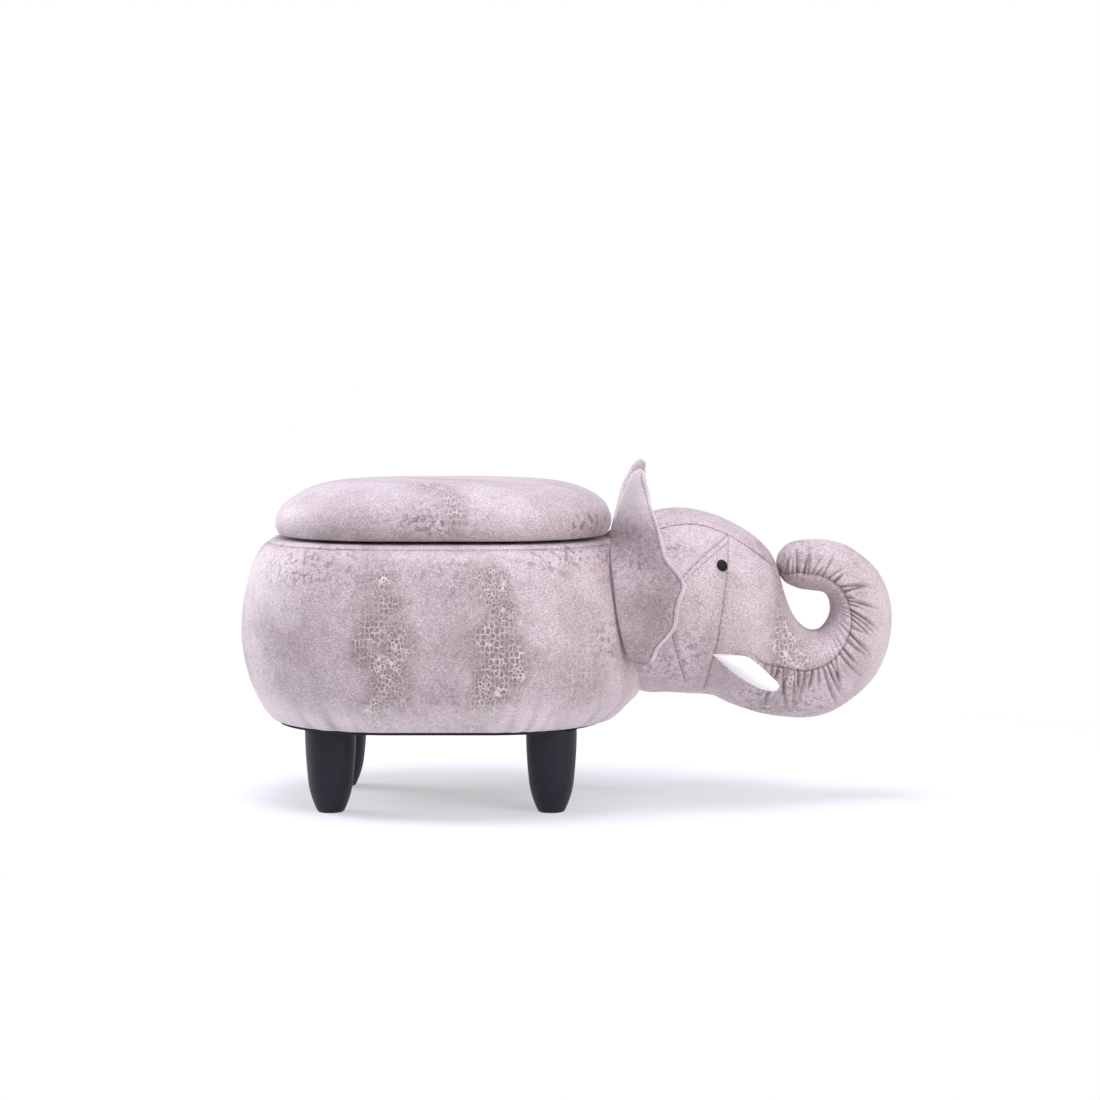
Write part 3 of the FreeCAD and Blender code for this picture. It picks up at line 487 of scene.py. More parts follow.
def swell(rings, count, cap):
    """Move of every ring point when a coarse copy, with its first ring held, is cloth under pressure."""
    run = np.concatenate([[0], np.cumsum(np.linalg.norm(np.diff(rings, axis=0), axis=2).mean(1))])
    stops = np.linspace(0, run[-1], count)
    coarse = np.einsum("rk,kcd->rcd", weights(stops, run), rings)[:, ::COARSE]
    blown = make_piece("swelling", coarse, "poles")
    held = list(range(coarse.shape[1])) + [count * coarse.shape[1]]
    blown.vertex_groups.new(name="held").add(held, 1.0, "REPLACE")
    cloth = blown.modifiers.new("cloth", "CLOTH")
    cloth.settings.vertex_group_mass = "held"
    cloth.settings.use_pressure = True
    cloth.settings.uniform_pressure_force = PRESSURE
    cloth.settings.effector_weights.gravity = 0.0
    cloth.point_cache.frame_end = FRAMES
    for step in range(1, FRAMES + 1):
        scene.frame_set(step)
    shape = blown.evaluated_get(bpy.context.evaluated_depsgraph_get()).data
    points = np.empty(len(shape.vertices) * 3)
    shape.vertices.foreach_get("co", points)
    move = points.reshape(-1, 3)[:coarse[..., 0].size].reshape(coarse.shape) / MM - coarse
    size = np.linalg.norm(move, axis=-1, keepdims=True)
    move *= np.minimum(1, cap / np.maximum(size, 1e-9))
    bpy.data.meshes.remove(blown.data)
    scene.frame_set(1)
    columns = np.arange(rings.shape[1])
    print("cloth moved", round(float(size.mean()), 2), "mm on average,", round(float(size.max()), 2), "mm at most")
    across = weights(columns, columns[::COARSE], rings.shape[1])
    return np.einsum("rk,kcd,nc->rnd", weights(run, stops), move, across)


skin = lid_rings[SKIN_ROW:]
out = normals_of(skin)
out *= np.sign(out[-1, :, 2].mean())
small = skin - LID_CAP * bump(skin[..., 2:], lid_low[2] + 2, lid_low[2] + LID_NOSE + 4) * out
blown = small + swell(small, COARSE_ROWS, LID_CAP)
lid_rings[SKIN_ROW:] += LID_GIVE * (blown - skin)
print("crown now", round(float(lid_rings[..., 2].max()), 1), "mm high, packed", round(float(lid_high[2]), 1))

# %% [markdown]
# The shoulder towards the head is fuller than the other one, and the edge below it is tucked in. The crackle
# shows across the middle of the lid, and the dark pebbles in two places on its edge.

# %% Lid shoulders and marks
ahead, high = lid_rings[..., 0] - tub_x, lid_rings[..., 2] - lid_low[2]
full = bump(high, 14, 34) * (2.6 * bump(ahead, 80, 165) - 1.1 * bump(-ahead, 80, 165))
lid_rings[..., 0] += full - 1.6 * bump(ahead, 130, 178) * (1 - bump(high, 4, 20))
x, z = lid_rings[..., 0], lid_rings[..., 2]
# painted shade darkens the lower edge of the lid; painted light brightens its top and its round end
lid_marks = {
    "painted_shade": 0.14 * (1 - bump(z, lid_low[2] + 4, lid_low[2] + 22)),
    "wear": 0.25 + 0.75 * bell(x - tub_x - 5, 42),
    "flecks": spots(lid_rings, (1.2, 22, 312, 26, 14), (1.3, tub_x, 318, 40, 14)) - 0.45,
    "painted_light": 0.05 * bump(z, 318, 338) + 0.03 * (1 - bump(x, -310, -255)),
}
lid_cushion = make_piece("lid_padded_cover", lid_rings, "poles", lid_marks, 50.0)
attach(lid_cushion, "lid")
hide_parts("lid_cover", "lid_foam")

# %% [markdown]
# ## Head and trunk
# Head and trunk are one stuffed form. Each section is an oval that stands on a line from the animal's underside
# to its crown, and the lines turn through three quarters of a circle as the trunk curls up. Metaballs would melt
# the parts together and lose the outline, so a table gives a few such lines with their half widths, and a cubic
# spline runs through them.

# %% Lines and splines
def outward_normals(rings):
    """Normals of stacked rings, turned away from the middle of each ring."""
    normal = normals_of(rings)
    away = np.einsum("ijk,ijk->ij", normal, rings - rings.mean(1, keepdims=True)).mean()
    return normal * np.sign(away)


def run_along(points):
    """Length of a line from its first point to each of its points."""
    return np.concatenate([[0], np.cumsum(np.linalg.norm(np.diff(points, axis=0), axis=1))])


def spline(knots, values, at):
    """Natural cubic spline: cubics through the values whose bends agree at the knots and vanish at the ends."""
    knots, values = np.asarray(knots, float), np.asarray(values, float)
    table = values.reshape(len(knots), -1)
    h = np.diff(knots)
    rows = np.arange(1, len(knots) - 1)
    system = np.eye(len(knots))
    system[rows, rows - 1], system[rows, rows], system[rows, rows + 1] = h[:-1], 2 * (h[:-1] + h[1:]), h[1:]
    slope = np.diff(table, axis=0) / h[:, None]
    right = np.zeros_like(table)
    right[1:-1] = 6 * np.diff(slope, axis=0)
    bend = np.linalg.solve(system, right)
    i = np.clip(np.searchsorted(knots, at) - 1, 0, len(knots) - 2)
    t, w = (at - knots[i])[:, None], h[i][:, None]
    rise = slope[i] - w * (2 * bend[i] + bend[i + 1]) / 6
    out = table[i] + t * (rise + t * (bend[i] / 2 + t * (bend[i + 1] - bend[i]) / (6 * w)))
    return out.reshape(len(at), *values.shape[1:])


print("a spline half way through 0, 1, 0:", spline([0, 1, 2], [0, 1, 0], np.array([0.5, 1.5])))

# %% Head and trunk sections
# crown x, crown z, underside x, underside z, half width, and where the trunk's side seam lies in degrees
SECTIONS = np.array([
    (22, 276, 56, 132, 100, 90), (47.4, 299.5, 78.6, 121.5, 106, 90), (100.5, 321, 103, 119.3, 110, 92),
    (144.6, 320, 134.3, 117.8, 107, 95), (190.3, 301.3, 158.8, 115.5, 98, 98),
    (224.5, 270, 175.2, 107.8, 83, 101), (234.5, 241.5, 193.8, 100.8, 68, 101),
    (242.2, 216.8, 216.5, 94.3, 58, 92.3), (250.6, 200.6, 239.8, 91, 53, 86.8),
    (261.8, 190, 262, 90.2, 50, 81.2), (272.5, 187.8, 289, 96.2, 47, 76.4),
    (280.8, 192.2, 316, 113.3, 44, 73.8), (287, 202.3, 340, 138.5, 42, 70.2),
    (288.8, 213.5, 355.5, 181, 39, 67), (286.4, 223.8, 355, 220, 37, 62.4),
    (280.4, 229.8, 341.3, 252.8, 35, 64), (271.8, 231.2, 321.2, 272, 33, 68.7),
    (262, 232.3, 298.6, 284.4, 31, 72.2), (253.2, 234, 271, 288.2, 28.5, 70.8),
    (243.3, 238, 250, 286.3, 25, 66.5), (235.6, 244.5, 237, 279.5, 19, 54),
    (230.8, 252.6, 230.6, 271, 10, 50),
], float)
TRUNK_ROOT = 6  # the trunk begins at this section
knots = run_along((SECTIONS[:, 0:2] + SECTIONS[:, 2:4]) / 2)
root_knot = knots[TRUNK_ROOT]


def stuffed_rings(table, turns, ridge=1.0):
    """Oval rings: middle + cos(turn) * half the line, and half width * sin(turn) to the power ridge sideways."""
    line = (table[:, None, 0:2] - table[:, None, 2:4]) / 2
    middle = (table[:, None, 0:2] + table[:, None, 2:4]) / 2
    c, s = np.cos(np.atleast_2d(turns)), np.sin(np.atleast_2d(turns))
    flat = middle + c[..., None] * line
    return np.stack([flat[..., 0], table[:, None, 4] * np.sign(s) * np.abs(s) ** ridge, flat[..., 1]], -1)


head_at, trunk_at = np.linspace(0, root_knot, 125), np.linspace(root_knot, knots[-1], 400)
head_turn, trunk_turn = circle(360), circle(210)
head_table, trunk_table = spline(knots, SECTIONS, head_at), spline(knots, SECTIONS, trunk_at)
head_rings, trunk_rings = stuffed_rings(head_table, head_turn), stuffed_rings(trunk_table, trunk_turn)
head_normal, trunk_normal = outward_normals(head_rings), outward_normals(trunk_rings)
print("head", head_rings.shape, "trunk", trunk_rings.shape, "path", round(knots[-1]), "mm")

# %% [markdown]
# The head is sewn from panels: a crown strip, a cheek and a face on each side, and in the trunk an inner and an
# outer panel. Every seam pulls the skin in. The mesh could be cut along the seams, but one whole skin is easier
# to keep closed: a seam is drawn in side view as a few points and laid on the skin, which dips by a narrow bell
# curve of the distance from it.

# %% Seams on the head
SEAMS = {
    "crown": [(78, 297), (96.4, 303.3), (115.4, 307.5), (131.5, 308.5), (153.5, 304.5), (173.5, 295.5),
              (191.6, 285.5), (207.6, 273.5), (224.1, 261)],
    "face": [(172.4, 294), (169.4, 259.8), (164.4, 222.7), (158.5, 184.7), (155, 168.1), (151.5, 151.6),
             (146.5, 125)],
    "brow": [(171.3, 295.9), (140.4, 272.9), (112, 245)],
    "brow_topstitch": [(172.5, 290), (143, 268.0), (114, 240.0)],
    "cheek": [(108, 200), (112, 184), (117.4, 164.6), (126.5, 136)],
}
SEAM_REACH, FAR_OFF = 14, 99.0  # how far a seam pulls, and what stands for beyond


def drawn(points):
    """Points every millimetre along a spline through a drawn line."""
    at = run_along(points)
    return spline(at, points, np.arange(0, at[-1], 1.0))


def lay_on(rings, path, *more):
    """Lay a side-view path on the near half of a skin: the mean of the four nearest points, by nearness."""
    near = rings[..., 1] < 0
    skin = rings[near]
    gap = np.linalg.norm(skin[None, :, [0, 2]] - path[:, None], axis=-1).astype(np.float32)
    best = np.argpartition(gap, 4, axis=1)[:, :4]
    weight = 1 / (np.take_along_axis(gap, best, 1) + 0.2)
    weight = (weight / weight.sum(1, keepdims=True))[..., None]
    laid = [(values[near][best] * weight).sum(1) for values in (rings, *more)]
    return laid if more else laid[0]


def distance_to(rings, line):
    """Distance of every point of a skin from a line of points, the far half measured on its mirror image."""
    skin = rings.reshape(-1, 3).astype(np.float32)
    skin = np.where(skin[:, 1:2] < 0, skin, skin * [1, -1, 1])
    inside = np.all((skin > line.min(0) - SEAM_REACH) & (skin < line.max(0) + SEAM_REACH), axis=1)
    gap = np.full(len(skin), FAR_OFF)
    gap[inside] = np.min(np.linalg.norm(skin[inside][:, None] - line[None, ::2], axis=-1), axis=1)
    return gap.reshape(rings.shape[:2])


head_shift, head_painted_shade = np.zeros((2, *head_rings.shape[:2]))
for name, points in SEAMS.items():
    gap = distance_to(head_rings, lay_on(head_rings, drawn(points)))
    deep, dark = (0.35, 0.2) if name == "brow_topstitch" else (1.2, 0.6)
    head_shift += -deep * bell(gap, 2.0) + 0.5 * deep * bell(gap - 6, 3.5)
    # painted shade: the colour is darkened along each seam, and more faintly along the topstitch
    head_painted_shade = np.maximum(head_painted_shade, dark * bell(gap, 1.1))
print("seams", list(SEAMS))

# %% [markdown]
# The eyes are buttons on a shank, held by a washer behind the skin, so the skin has to pass between
# the two. A soft swelling brings it to that depth, 3.6 mm behind the button's front, and dips round the button.

# %% Seat for the eyes
EYE_PROUD = 3.6
eye_low, eye_high = span("eye_right")
eye_spot = ((eye_low + eye_high) / 2)[[0, 2]]
skin_at_eye = -lay_on(head_rings, eye_spot[None])[0, 1]
lift = -eye_low[1] - EYE_PROUD - skin_at_eye
from_eye = np.linalg.norm(head_rings[..., [0, 2]] - eye_spot, axis=-1)
from_eye += FAR_OFF * (np.abs(head_rings[..., 1]) < 50)
head_shift += lift * bell(from_eye, 26) - 0.5 * bell(from_eye - 7, 2.0)
print("skin lifted at the eyes by", round(float(lift), 2), "mm")

# %% [markdown]
# The buttons are a little taller than wide. A flattened sphere would have no edge, so each is a profile carried
# along the button's own axis: a low dome, a rounded edge, a flat back and the shank that goes through the skin.

# %% Eyes
EYE_WIDE, EYE_TALL, SHANK_R = 12.0, 13.4, 1.7


def eye_rings():
    """Rings square to the axis: ovals for the dome, falling by 2.2 * s to the 2.4, then circles for the shank."""
    mesh = frame["nodes"]["eye_right"].data
    points = np.empty(len(mesh.vertices) * 3)
    mesh.vertices.foreach_get("co", points)
    points = points.reshape(-1, 3) / MM
    axis = unit(lay_on(head_rings, eye_spot[None], head_normal)[1][0])
    top = points[np.argmax(points @ axis)]
    s = np.linspace(0.06, 1, 14)
    share = np.concatenate([s, [1, 0.93]])
    wide, tall = (np.concatenate([share * size / 2, [SHANK_R, SHANK_R]]) for size in (EYE_WIDE, EYE_TALL))
    deep = np.concatenate([2.2 * s ** 2.4, [3.0, 3.6, 3.7, 13.0]])
    side = unit(np.cross([0, 0, 1], axis))
    around = circle(48)[None, :, None]
    ring = np.cos(around) * side * wide[:, None, None]
    ring = ring + np.sin(around) * np.cross(axis, side) * tall[:, None, None]
    return top + ring - axis * deep[:, None, None]


button = eye_rings()
for hand, flip in (("left", -1.0), ("right", 1.0)):
    eye = make_piece("eye_button_" + hand, button * [1, flip, 1], crisp=50.0)
    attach(eye, "tub")
    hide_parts("eye_" + hand)

# %% [markdown]
# The trunk's outer panel is longer than the inner one, so it is gathered into the side seam: some forty short
# creases fan out from it. Noise would crease in every direction, so each gather is a narrow valley across the
# seam that fades with the distance from it. Their places, lengths and depths come from a seeded generator, so
# every run gives the same trunk.

# %% Gathers on the trunk
SEAM_START = 16  # the side seam starts this far before the trunk does
fine = np.linspace(0, knots[-1], 900)
fine_table = spline(knots, SECTIONS, fine)
seam_run = run_along(stuffed_rings(fine_table, -np.radians(fine_table[:, 5])[:, None])[:, 0])
seam_run -= np.interp(root_knot - SEAM_START, fine, seam_run)
chance = np.random.default_rng(7)
places = np.cumsum(chance.uniform(3.8, 9.4, 90)) + 14
places = places[places < seam_run[-1] - 7]
lengths = chance.uniform(16, 50, len(places))
lengths = lengths * np.interp(places / seam_run[-1], [0.25, 0.4, 0.6], [1.6, 1.1, 0.85])
depths = chance.uniform(1.0, 2.8, len(places))
slants = chance.uniform(-0.25, 0.25, len(places))


def gathered(at, table, turns):
    """Depth along the normal and painted shade of the side seam and its gathers, on a grid of rings."""
    run = np.interp(at, fine, seam_run)[:, None]
    girth = ((np.linalg.norm(table[:, 0:2] - table[:, 2:4], axis=1) / 2 + table[:, 4]) / 2)[:, None]
    off = (np.minimum(turns, 2 * np.pi - turns)[None] - np.radians(table[:, 5])[:, None]) * girth
    here = bump(run, -4, 8)
    shift = here * (-1.2 * bell(off, 1.7) + 0.9 * bell(np.abs(off) - 7, 5))
    # painted shade along the side seam; the loop adds more in the valley of each gather
    painted_shade = here * 0.6 * bell(off, 1.0)
    for place, length, depth, slant in zip(places, lengths, depths, slants):
        across = run - place - slant * np.clip(off, 0, None)
        inner = 8 + 18 * bell(place / seam_run[-1] - 0.52, 0.2)
        reach = np.where(off > 0, bump(length - off, 0, length * 0.55), 0.45 * bump(off, -inner, -1))
        valley = reach * bell(across, 1.15 + 0.018 * np.clip(off, 0, 40))
        shift += -depth * valley + 0.45 * depth * reach * bell(np.abs(across) - 3.4, 1.8)
        line = reach ** 0.7 * bell(across, 0.85)
        painted_shade = np.maximum(painted_shade, (0.35 + 0.2 * depth) * line * np.where(off > 0, 1, 0.5))
    return shift, np.clip(painted_shade, 0, 1)


shift, dark = gathered(head_at, head_table, head_turn)
head_form = head_rings + head_normal * (head_shift + shift)[..., None]
head_marks = {
    "painted_shade": np.maximum(head_painted_shade, dark),
    "wear": 0.3 + 0.55 * bump(head_form[..., 0], 190, 220),
    "flecks": spots(head_form, (0.8, 128, 172, 24, 26), (0.5, 96, 152, 30, 15), (0.3, 113, 283, 20, 18),
                    (0.8, 205, 122, 24, 16)),
}
head_cover = make_piece("head_sewn_cover", head_form, "poles", head_marks, 60.0)
shift, dark = gathered(trunk_at, trunk_table, trunk_turn)
trunk_form = trunk_rings + trunk_normal * shift[..., None]
trunk_marks = {
    "painted_shade": dark,
    "wear": 0.85 - 0.6 * bump(trunk_form[..., 0], 265, 300),
    "flecks": spots(trunk_form, (0.8, 205, 122, 24, 16), (0.6, 250, 104, 40, 12), (0.5, 266, 121, 26, 16)),
    # painted light: the outer end of the trunk is made paler
    "painted_light": 0.26 * bump(trunk_form[..., 0], 312, 352),
}
trunk_cover = make_piece("trunk_sewn_cover", trunk_form, "poles", trunk_marks, 60.0)
for piece, nodes in ((head_cover, ("head_cover", "head_stuffing")),
                     (trunk_cover, ("trunk_cover", "trunk_stuffing"))):
    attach(piece, "tub")
    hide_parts(*nodes)
print("gathers", len(places), "along", round(float(seam_run[-1])), "mm of seam")

# %% [markdown]
# ## Ears
# An ear is two layers sewn face to face and turned, with a line of stitches inside the free edge. A sheet that
# is made solid would be equally thick all over, so each height has a flat ring of its own: from the sewn root out
# along the front layer to the free edge, and back along the rear one. The left ear leans a little further forward
# than the right one, as soft things do.

# %% Ears
# height, x, and distance from the middle plane
ROOT_EDGE = np.array([
    (160, 72, 100), (165, 66, 108), (179, 58.5, 117), (211, 51, 125), (232, 48, 125), (253, 45.5, 122),
    (270, 44, 110), (288, 44.5, 96), (304, 46.6, 95), (313, 49, 99), (325, 52, 106), (336, 55, 113),
    (348, 59, 121), (360.5, 63.8, 129), (368, 67.8, 134), (371.5, 70.5, 137),
], float)
FREE_EDGE = np.array([
    (160, 83, 113), (164.5, 88, 118), (171, 91.5, 124), (180, 95, 130), (189, 102.2, 134), (198, 109, 138),
    (207, 113, 142), (220, 114.5, 146), (237, 119, 151), (247, 121.6, 153), (256, 118.5, 153.5),
    (275, 104.5, 154.5), (286, 100, 154.3), (295, 96, 154), (305, 93.2, 153), (317, 91.7, 151), (327, 89, 149.5),
    (334, 86.2, 148.5), (345, 82.8, 147), (352, 80.8, 145.5), (360, 80.2, 144), (368, 78.8, 142.5),
    (371.5, 76.5, 141.5),
], float)
EAR_LOW, EAR_TALL, EAR_TIP = 160, 211.5, 5.25  # lowest point, height, and how far both ends are rounded
EAR_T, EAR_HEM = 8.0, 5.5  # thickness, and the hem's width outside its stitches
EAR_ROWS, EAR_COLUMNS = 190, 160


def ear_rings():
    """Left ear: rings from root to free edge and back, thin at the hem, with a cupped and gently waved sheet, and
    its painted shade and painted light.
    """
    z = EAR_LOW + EAR_TALL * (1 - np.cos(np.linspace(0, np.pi, EAR_ROWS))) / 2
    root, free = (spline(edge[:, 0], edge[:, 1:], z)[:, None] for edge in (ROOT_EDGE, FREE_EDGE))
    wide = np.linalg.norm(free - root, axis=-1)
    along = (free - root) / wide[..., None]
    z, step = z[:, None], circle(EAR_COLUMNS)[None]
    past = np.clip(np.abs(z - (EAR_LOW + EAR_TALL / 2)) - (EAR_TALL / 2 - EAR_TIP), 0, EAR_TIP)
    tip = np.sqrt(np.clip(1 - (past / (EAR_TIP + 0.05)) ** 2, 0.01, 1))
    u = 0.5 + ((1 - np.cos(step)) / 2 - 0.5) * tip
    from_root, from_free = u * wide, (1 - u) * wide
    hem = bump(wide, 14, 30)
    thick = EAR_T * (0.45 + 0.55 * bump(from_free, EAR_HEM - 1, EAR_HEM + 7))
    thick = thick - 1.6 * hem * bell(from_free - EAR_HEM, 1.5)
    skin = np.sign(np.sin(step)) * np.abs(np.sin(step)) ** 0.45 * thick / 2 * tip
    cup = -6.0 * np.sin(np.pi * u) * np.clip(wide / 55, 0, 1) ** 2
    wave = 2.2 * hem * u ** 2 * np.sin(2 * np.pi * (z - 176) / 46)
    fold = -7.0 * bell(z - 292, 13) * bell(u, 0.35)
    lift = skin + cup + wave
    x = root[..., 0] + along[..., 0] * u * wide - along[..., 1] * lift
    y = root[..., 1] + along[..., 1] * u * wide + along[..., 0] * lift + fold
    # painted shade: inside the hem, along the sewn root with a broad hollow near the top, round the bottom of the
    # lobe and over the lower ear
    painted_shade = 0.5 * hem * bell(from_free - EAR_HEM, 1.0) * (1 - 0.55 * bump(z, 246, 262))
    sewn = 0.75 * bell(from_root, 1.6) + 0.28 * bell(z - 276, 24) * bell(from_root, 18)
    painted_shade = np.maximum(painted_shade, sewn * (1 - bump(z, 296, 312)))
    painted_shade = np.maximum(painted_shade, 0.7 * bell(z - 162, 3.0) * bump(from_free, 2, 5))
    rim = hem * (1 - bump(from_free, EAR_HEM - 1.5, EAR_HEM))
    lower_ear_shade = 0.24 * (1 - bump(z, 225, 265)) * (1 - rim)
    # painted light: a pale hem rim where the edge catches the light, and a paler upper ear
    painted_light = np.maximum(0.52 * rim, 0.55 * bump(z, 298, 336))
    form = np.stack([x, y, np.broadcast_to(z, x.shape)], -1)
    return form, np.maximum(painted_shade, lower_ear_shade), painted_light, from_free - EAR_HEM


ear_form, ear_painted_shade, ear_painted_light, ear_hem_gap = ear_rings()
lean = 5.0 * bump(ear_form[..., 2], 265, 305) + 4.6 * bump(ear_form[..., 2], 335, 372)
left_ear = ear_form + lean[..., None] * [1, 0, 0]
# the left ear carries a third of the painted light, the right one all of it
for hand, form, painted_light_share in (("left", left_ear, 0.3), ("right", ear_form * [1, -1, 1], 1.0)):
    ear_marks = {
        "painted_shade": ear_painted_shade,
        # the print shows more strongly on the lower ear, and this also stands for painted shade there
        "wear": 0.45 - 0.25 * bump(form[..., 2], 225, 275),
        "flecks": spots(form, (0.6, 76, 319, 15, 10), (0.5, 88, 246, 22, 26)),
        "painted_light": ear_painted_light * painted_light_share,
    }
    ear = make_piece("ear_sewn_" + hand, form, "poles", ear_marks)
    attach(ear, "tub")
    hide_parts("ear_" + hand)

# %% [markdown]
# ## Tusks
# A tusk is a small white stuffed leaf, caught in the face seam at its root. Its sections go from a point through
# a full belly to a blunt tip. They are ovals like those of the head, with a faint ridge where the leaf is sewn.

# %% Tusks
# upper x, upper z, lower x, lower z, half thickness, and distance from the middle plane
TUSK = np.array([
    (154.5, 171, 154, 169.3, 1.2, 90), (166, 170.4, 161, 163, 5.5, 89.5), (180, 169.2, 171.5, 153.8, 9, 89),
    (193.4, 166, 183.5, 144.6, 10.5, 88), (203, 159, 195, 137.6, 10, 87), (211, 152, 205.5, 132.4, 8.5, 86),
    (219, 144.3, 215.5, 129.8, 6.8, 85), (225, 138.2, 222.3, 129.4, 4.5, 84), (226.8, 135, 225.4, 131.4, 2.0, 84),
], float)
TUSK_RIDGE = 1.25
tusk_at = run_along(TUSK[:, :4])
tusk_rows = spline(tusk_at, TUSK, np.linspace(0, tusk_at[-1], 60))
tusk_rings = stuffed_rings(tusk_rows, circle(48), TUSK_RIDGE)
tusk_rings[..., 1] += tusk_rows[:, None, 5]
for hand, flip in (("left", 1.0), ("right", -1.0)):
    tusk = make_piece("tusk_stuffed_" + hand, tusk_rings * [1, flip, 1])
    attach(tusk, "tub")
    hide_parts("tusk_" + hand)

# %% [markdown]
# ## Linings and dust cover
# Inside, a thin cloth lines the box and another hides the screws under the lid. Below, black felt is stapled
# under the base with its edge folded twice, and that folded edge shows as a black line along the bottom. The
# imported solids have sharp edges, so the cloths are drawn again with rounded ones and a little sag.

# %% Linings and dust cover
MIDDLE = (5, 4, 2)  # the small ring that closes a cloth in its middle


def plan_piece(name, table):
    """Closed piece from rows of half length, half width, corner radius and height round the tub's middle."""
    return make_piece(name, plan_rings(table, circle(160)), "poles", None, 40.0)


def flat_piece(name, half, corner, low, middle, high, tuck):
    """Flat cloth with a rounded edge: the outline half way up stands out by tuck from the lower and upper one."""
    edge = [ring_row(half, corner, z, out) for z, out in ((low, -tuck), (middle, 0.0), (high, -tuck))]
    return plan_piece(name, [(*MIDDLE, low), *edge, (*MIDDLE, high)])


AIR, INSIDE, SAG = 0.2, 1.0, 1.2  # from the boards to the cloth's back and to its face, and sag of the walls
bay_floor, top = bay_low[2], rim_z - 2 * AIR
wall = np.linspace(0, 1, 12)
sag = SAG * np.sin(np.pi * wall)
outer = [ring_row(bay_half, BAY_CORNER, bay_floor + AIR + (top - bay_floor) * t, -AIR) for t in wall]
inner = [ring_row(bay_half, BAY_CORNER, top - (top - INSIDE - bay_floor) * t, -INSIDE - s)
         for t, s in zip(wall, sag)]
box_rows = [(*MIDDLE, bay_floor + AIR), *outer, *inner, (*MIDDLE, bay_floor + INSIDE)]
box_cloth = plan_piece("box_lining_cloth", box_rows)

LINING_CORNER, FELT_CORNER = 102.0, 121.0
low, high = span("lid_lining")
half = half_plan(low, high)
lid_cloth = flat_piece("lid_lining_cloth", half, LINING_CORNER, low[2] + 0.1, low[2] + 0.6, high[2] - 0.1, 0.3)

FELT_Z, FOLD_Z, FOLD_OUT, FOLD_TALL, FOLD_WIDE = (90.4, 90.9, 91.4), 92.1, 4.6, 1.8, 1.6
half = half_plan(*span("dust_cover"))
dust_cloth = flat_piece("dust_cover_felt", half, FELT_CORNER, *FELT_Z, 1)
roll = [ring_row(half, FELT_CORNER, FOLD_Z + FOLD_TALL * math.sin(a), FOLD_OUT - FOLD_WIDE * math.cos(a))
        for a in circle(12)]
hem_rings = plan_rings(roll, turn)
hem_rings[..., 0] -= 16 * bump(hem_rings[..., 0], tub_x + 105, tub_x + 178)
dust_hem = make_piece("dust_cover_folded_edge", hem_rings, "loop")
for piece, body, node, slot in ((box_cloth, "tub", "box_lining", "lining_cloth"),
                                (lid_cloth, "lid", "lid_lining", "lining_cloth"),
                                (dust_cloth, "tub", "dust_cover", "dust_cloth"),
                                (dust_hem, "tub", None, "dust_cloth")):
    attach(piece, body)
    if node:
        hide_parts(node)

# %% [markdown]
# ## Stitches
# Seams on the real seat are topstitched with thread, a stitch every four millimetres. A dotted line in the
# material would do from afar, but thread stands up and catches the light. One stitch is a little spindle, and a
# row of them is the same spindle set along a line and turned by its tangent and the skin's normal.

# %% Stitches
STITCH_EVERY, STITCH_LONG, PROUD = 4.0, 2.5, 0.12
RINGS, SIDES = 5, 6
TRUNK_END, EAR_ENDS = slice(None, -6), slice(22, -16)  # rows that have stitches


def at_lengths(lengths, run, line):
    """Points of a line at the given lengths along it."""
    return np.stack([np.interp(lengths, run, line[:, n]) for n in range(3)], -1)


def stitch_row(name, lines, normals, thick=0.42):
    """One mesh of spindles along all the lines: thick * sqrt(1 - t * t) round an axis, t from end to end."""
    t, a = np.meshgrid(np.linspace(-0.96, 0.96, RINGS), circle(SIDES), indexing="ij")
    wide, made = thick * np.sqrt(1 - t ** 2), []
    for line, normal in zip(lines, normals):
        run = run_along(line)
        at = np.arange(STITCH_EVERY, run[-1] - STITCH_EVERY / 2, STITCH_EVERY)
        ahead = unit(at_lengths(at + 1, run, line) - at_lengths(at - 1, run, line))
        up = unit(at_lengths(at, run, normal))
        made.append(at_lengths(at, run, line)[:, None, None]
                    + ahead[:, None, None] * (t * STITCH_LONG / 2)[..., None]
                    + np.cross(up, ahead)[:, None, None] * (wide * np.cos(a))[..., None]
                    + up[:, None, None] * (wide * np.sin(a) + PROUD)[..., None])
    points = np.vstack(made).reshape(-1, 3)
    starts = np.arange(0, len(points), RINGS * SIDES)[:, None]
    quads = (starts[..., None] + ring_quads(RINGS, SIDES)).reshape(-1, 4)
    ends = np.vstack([starts + np.arange(SIDES)[::-1], starts + (RINGS - 1) * SIDES + np.arange(SIDES)])
    piece = link_mesh(name, points, quads.tolist() + ends.tolist())
    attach(piece, "tub")
    print(name, len(starts), "stitches")


def both_sides(lines):
    """Each line and its mirror image across the middle plane."""
    return [line * [1, side, 1] for line in lines for side in (1, -1)]


head_skin = outward_normals(head_form)
lines, ups = zip(*(lay_on(head_form, drawn(points), head_skin) for points in SEAMS.values()))
stitch_row("head_seam_thread", both_sides(lines), both_sides(ups))

column = (2 * np.pi - np.radians(trunk_table[:, 5])) / (2 * np.pi) * len(trunk_turn)
row, left = np.arange(len(trunk_at)), np.floor(column).astype(int)
part = (column - left)[:, None]
line, up = (grid[row, left] * (1 - part) + grid[row, left + 1] * part
            for grid in (trunk_form, outward_normals(trunk_form)))
stitch_row("trunk_seam_thread", both_sides([line[TRUNK_END]]), both_sides([up[TRUNK_END]]))

skin = tub_rings[SKIN]
ring = skin[np.argmin(np.abs(skin[:, 0, 2] - (rim_z - SEAM_DROP)))]
line = np.vstack([ring, ring[:1]])
stitch_row("rim_seam_thread", [line], [line - [tub_x, 0, rim_z - 60]], thick=0.32)

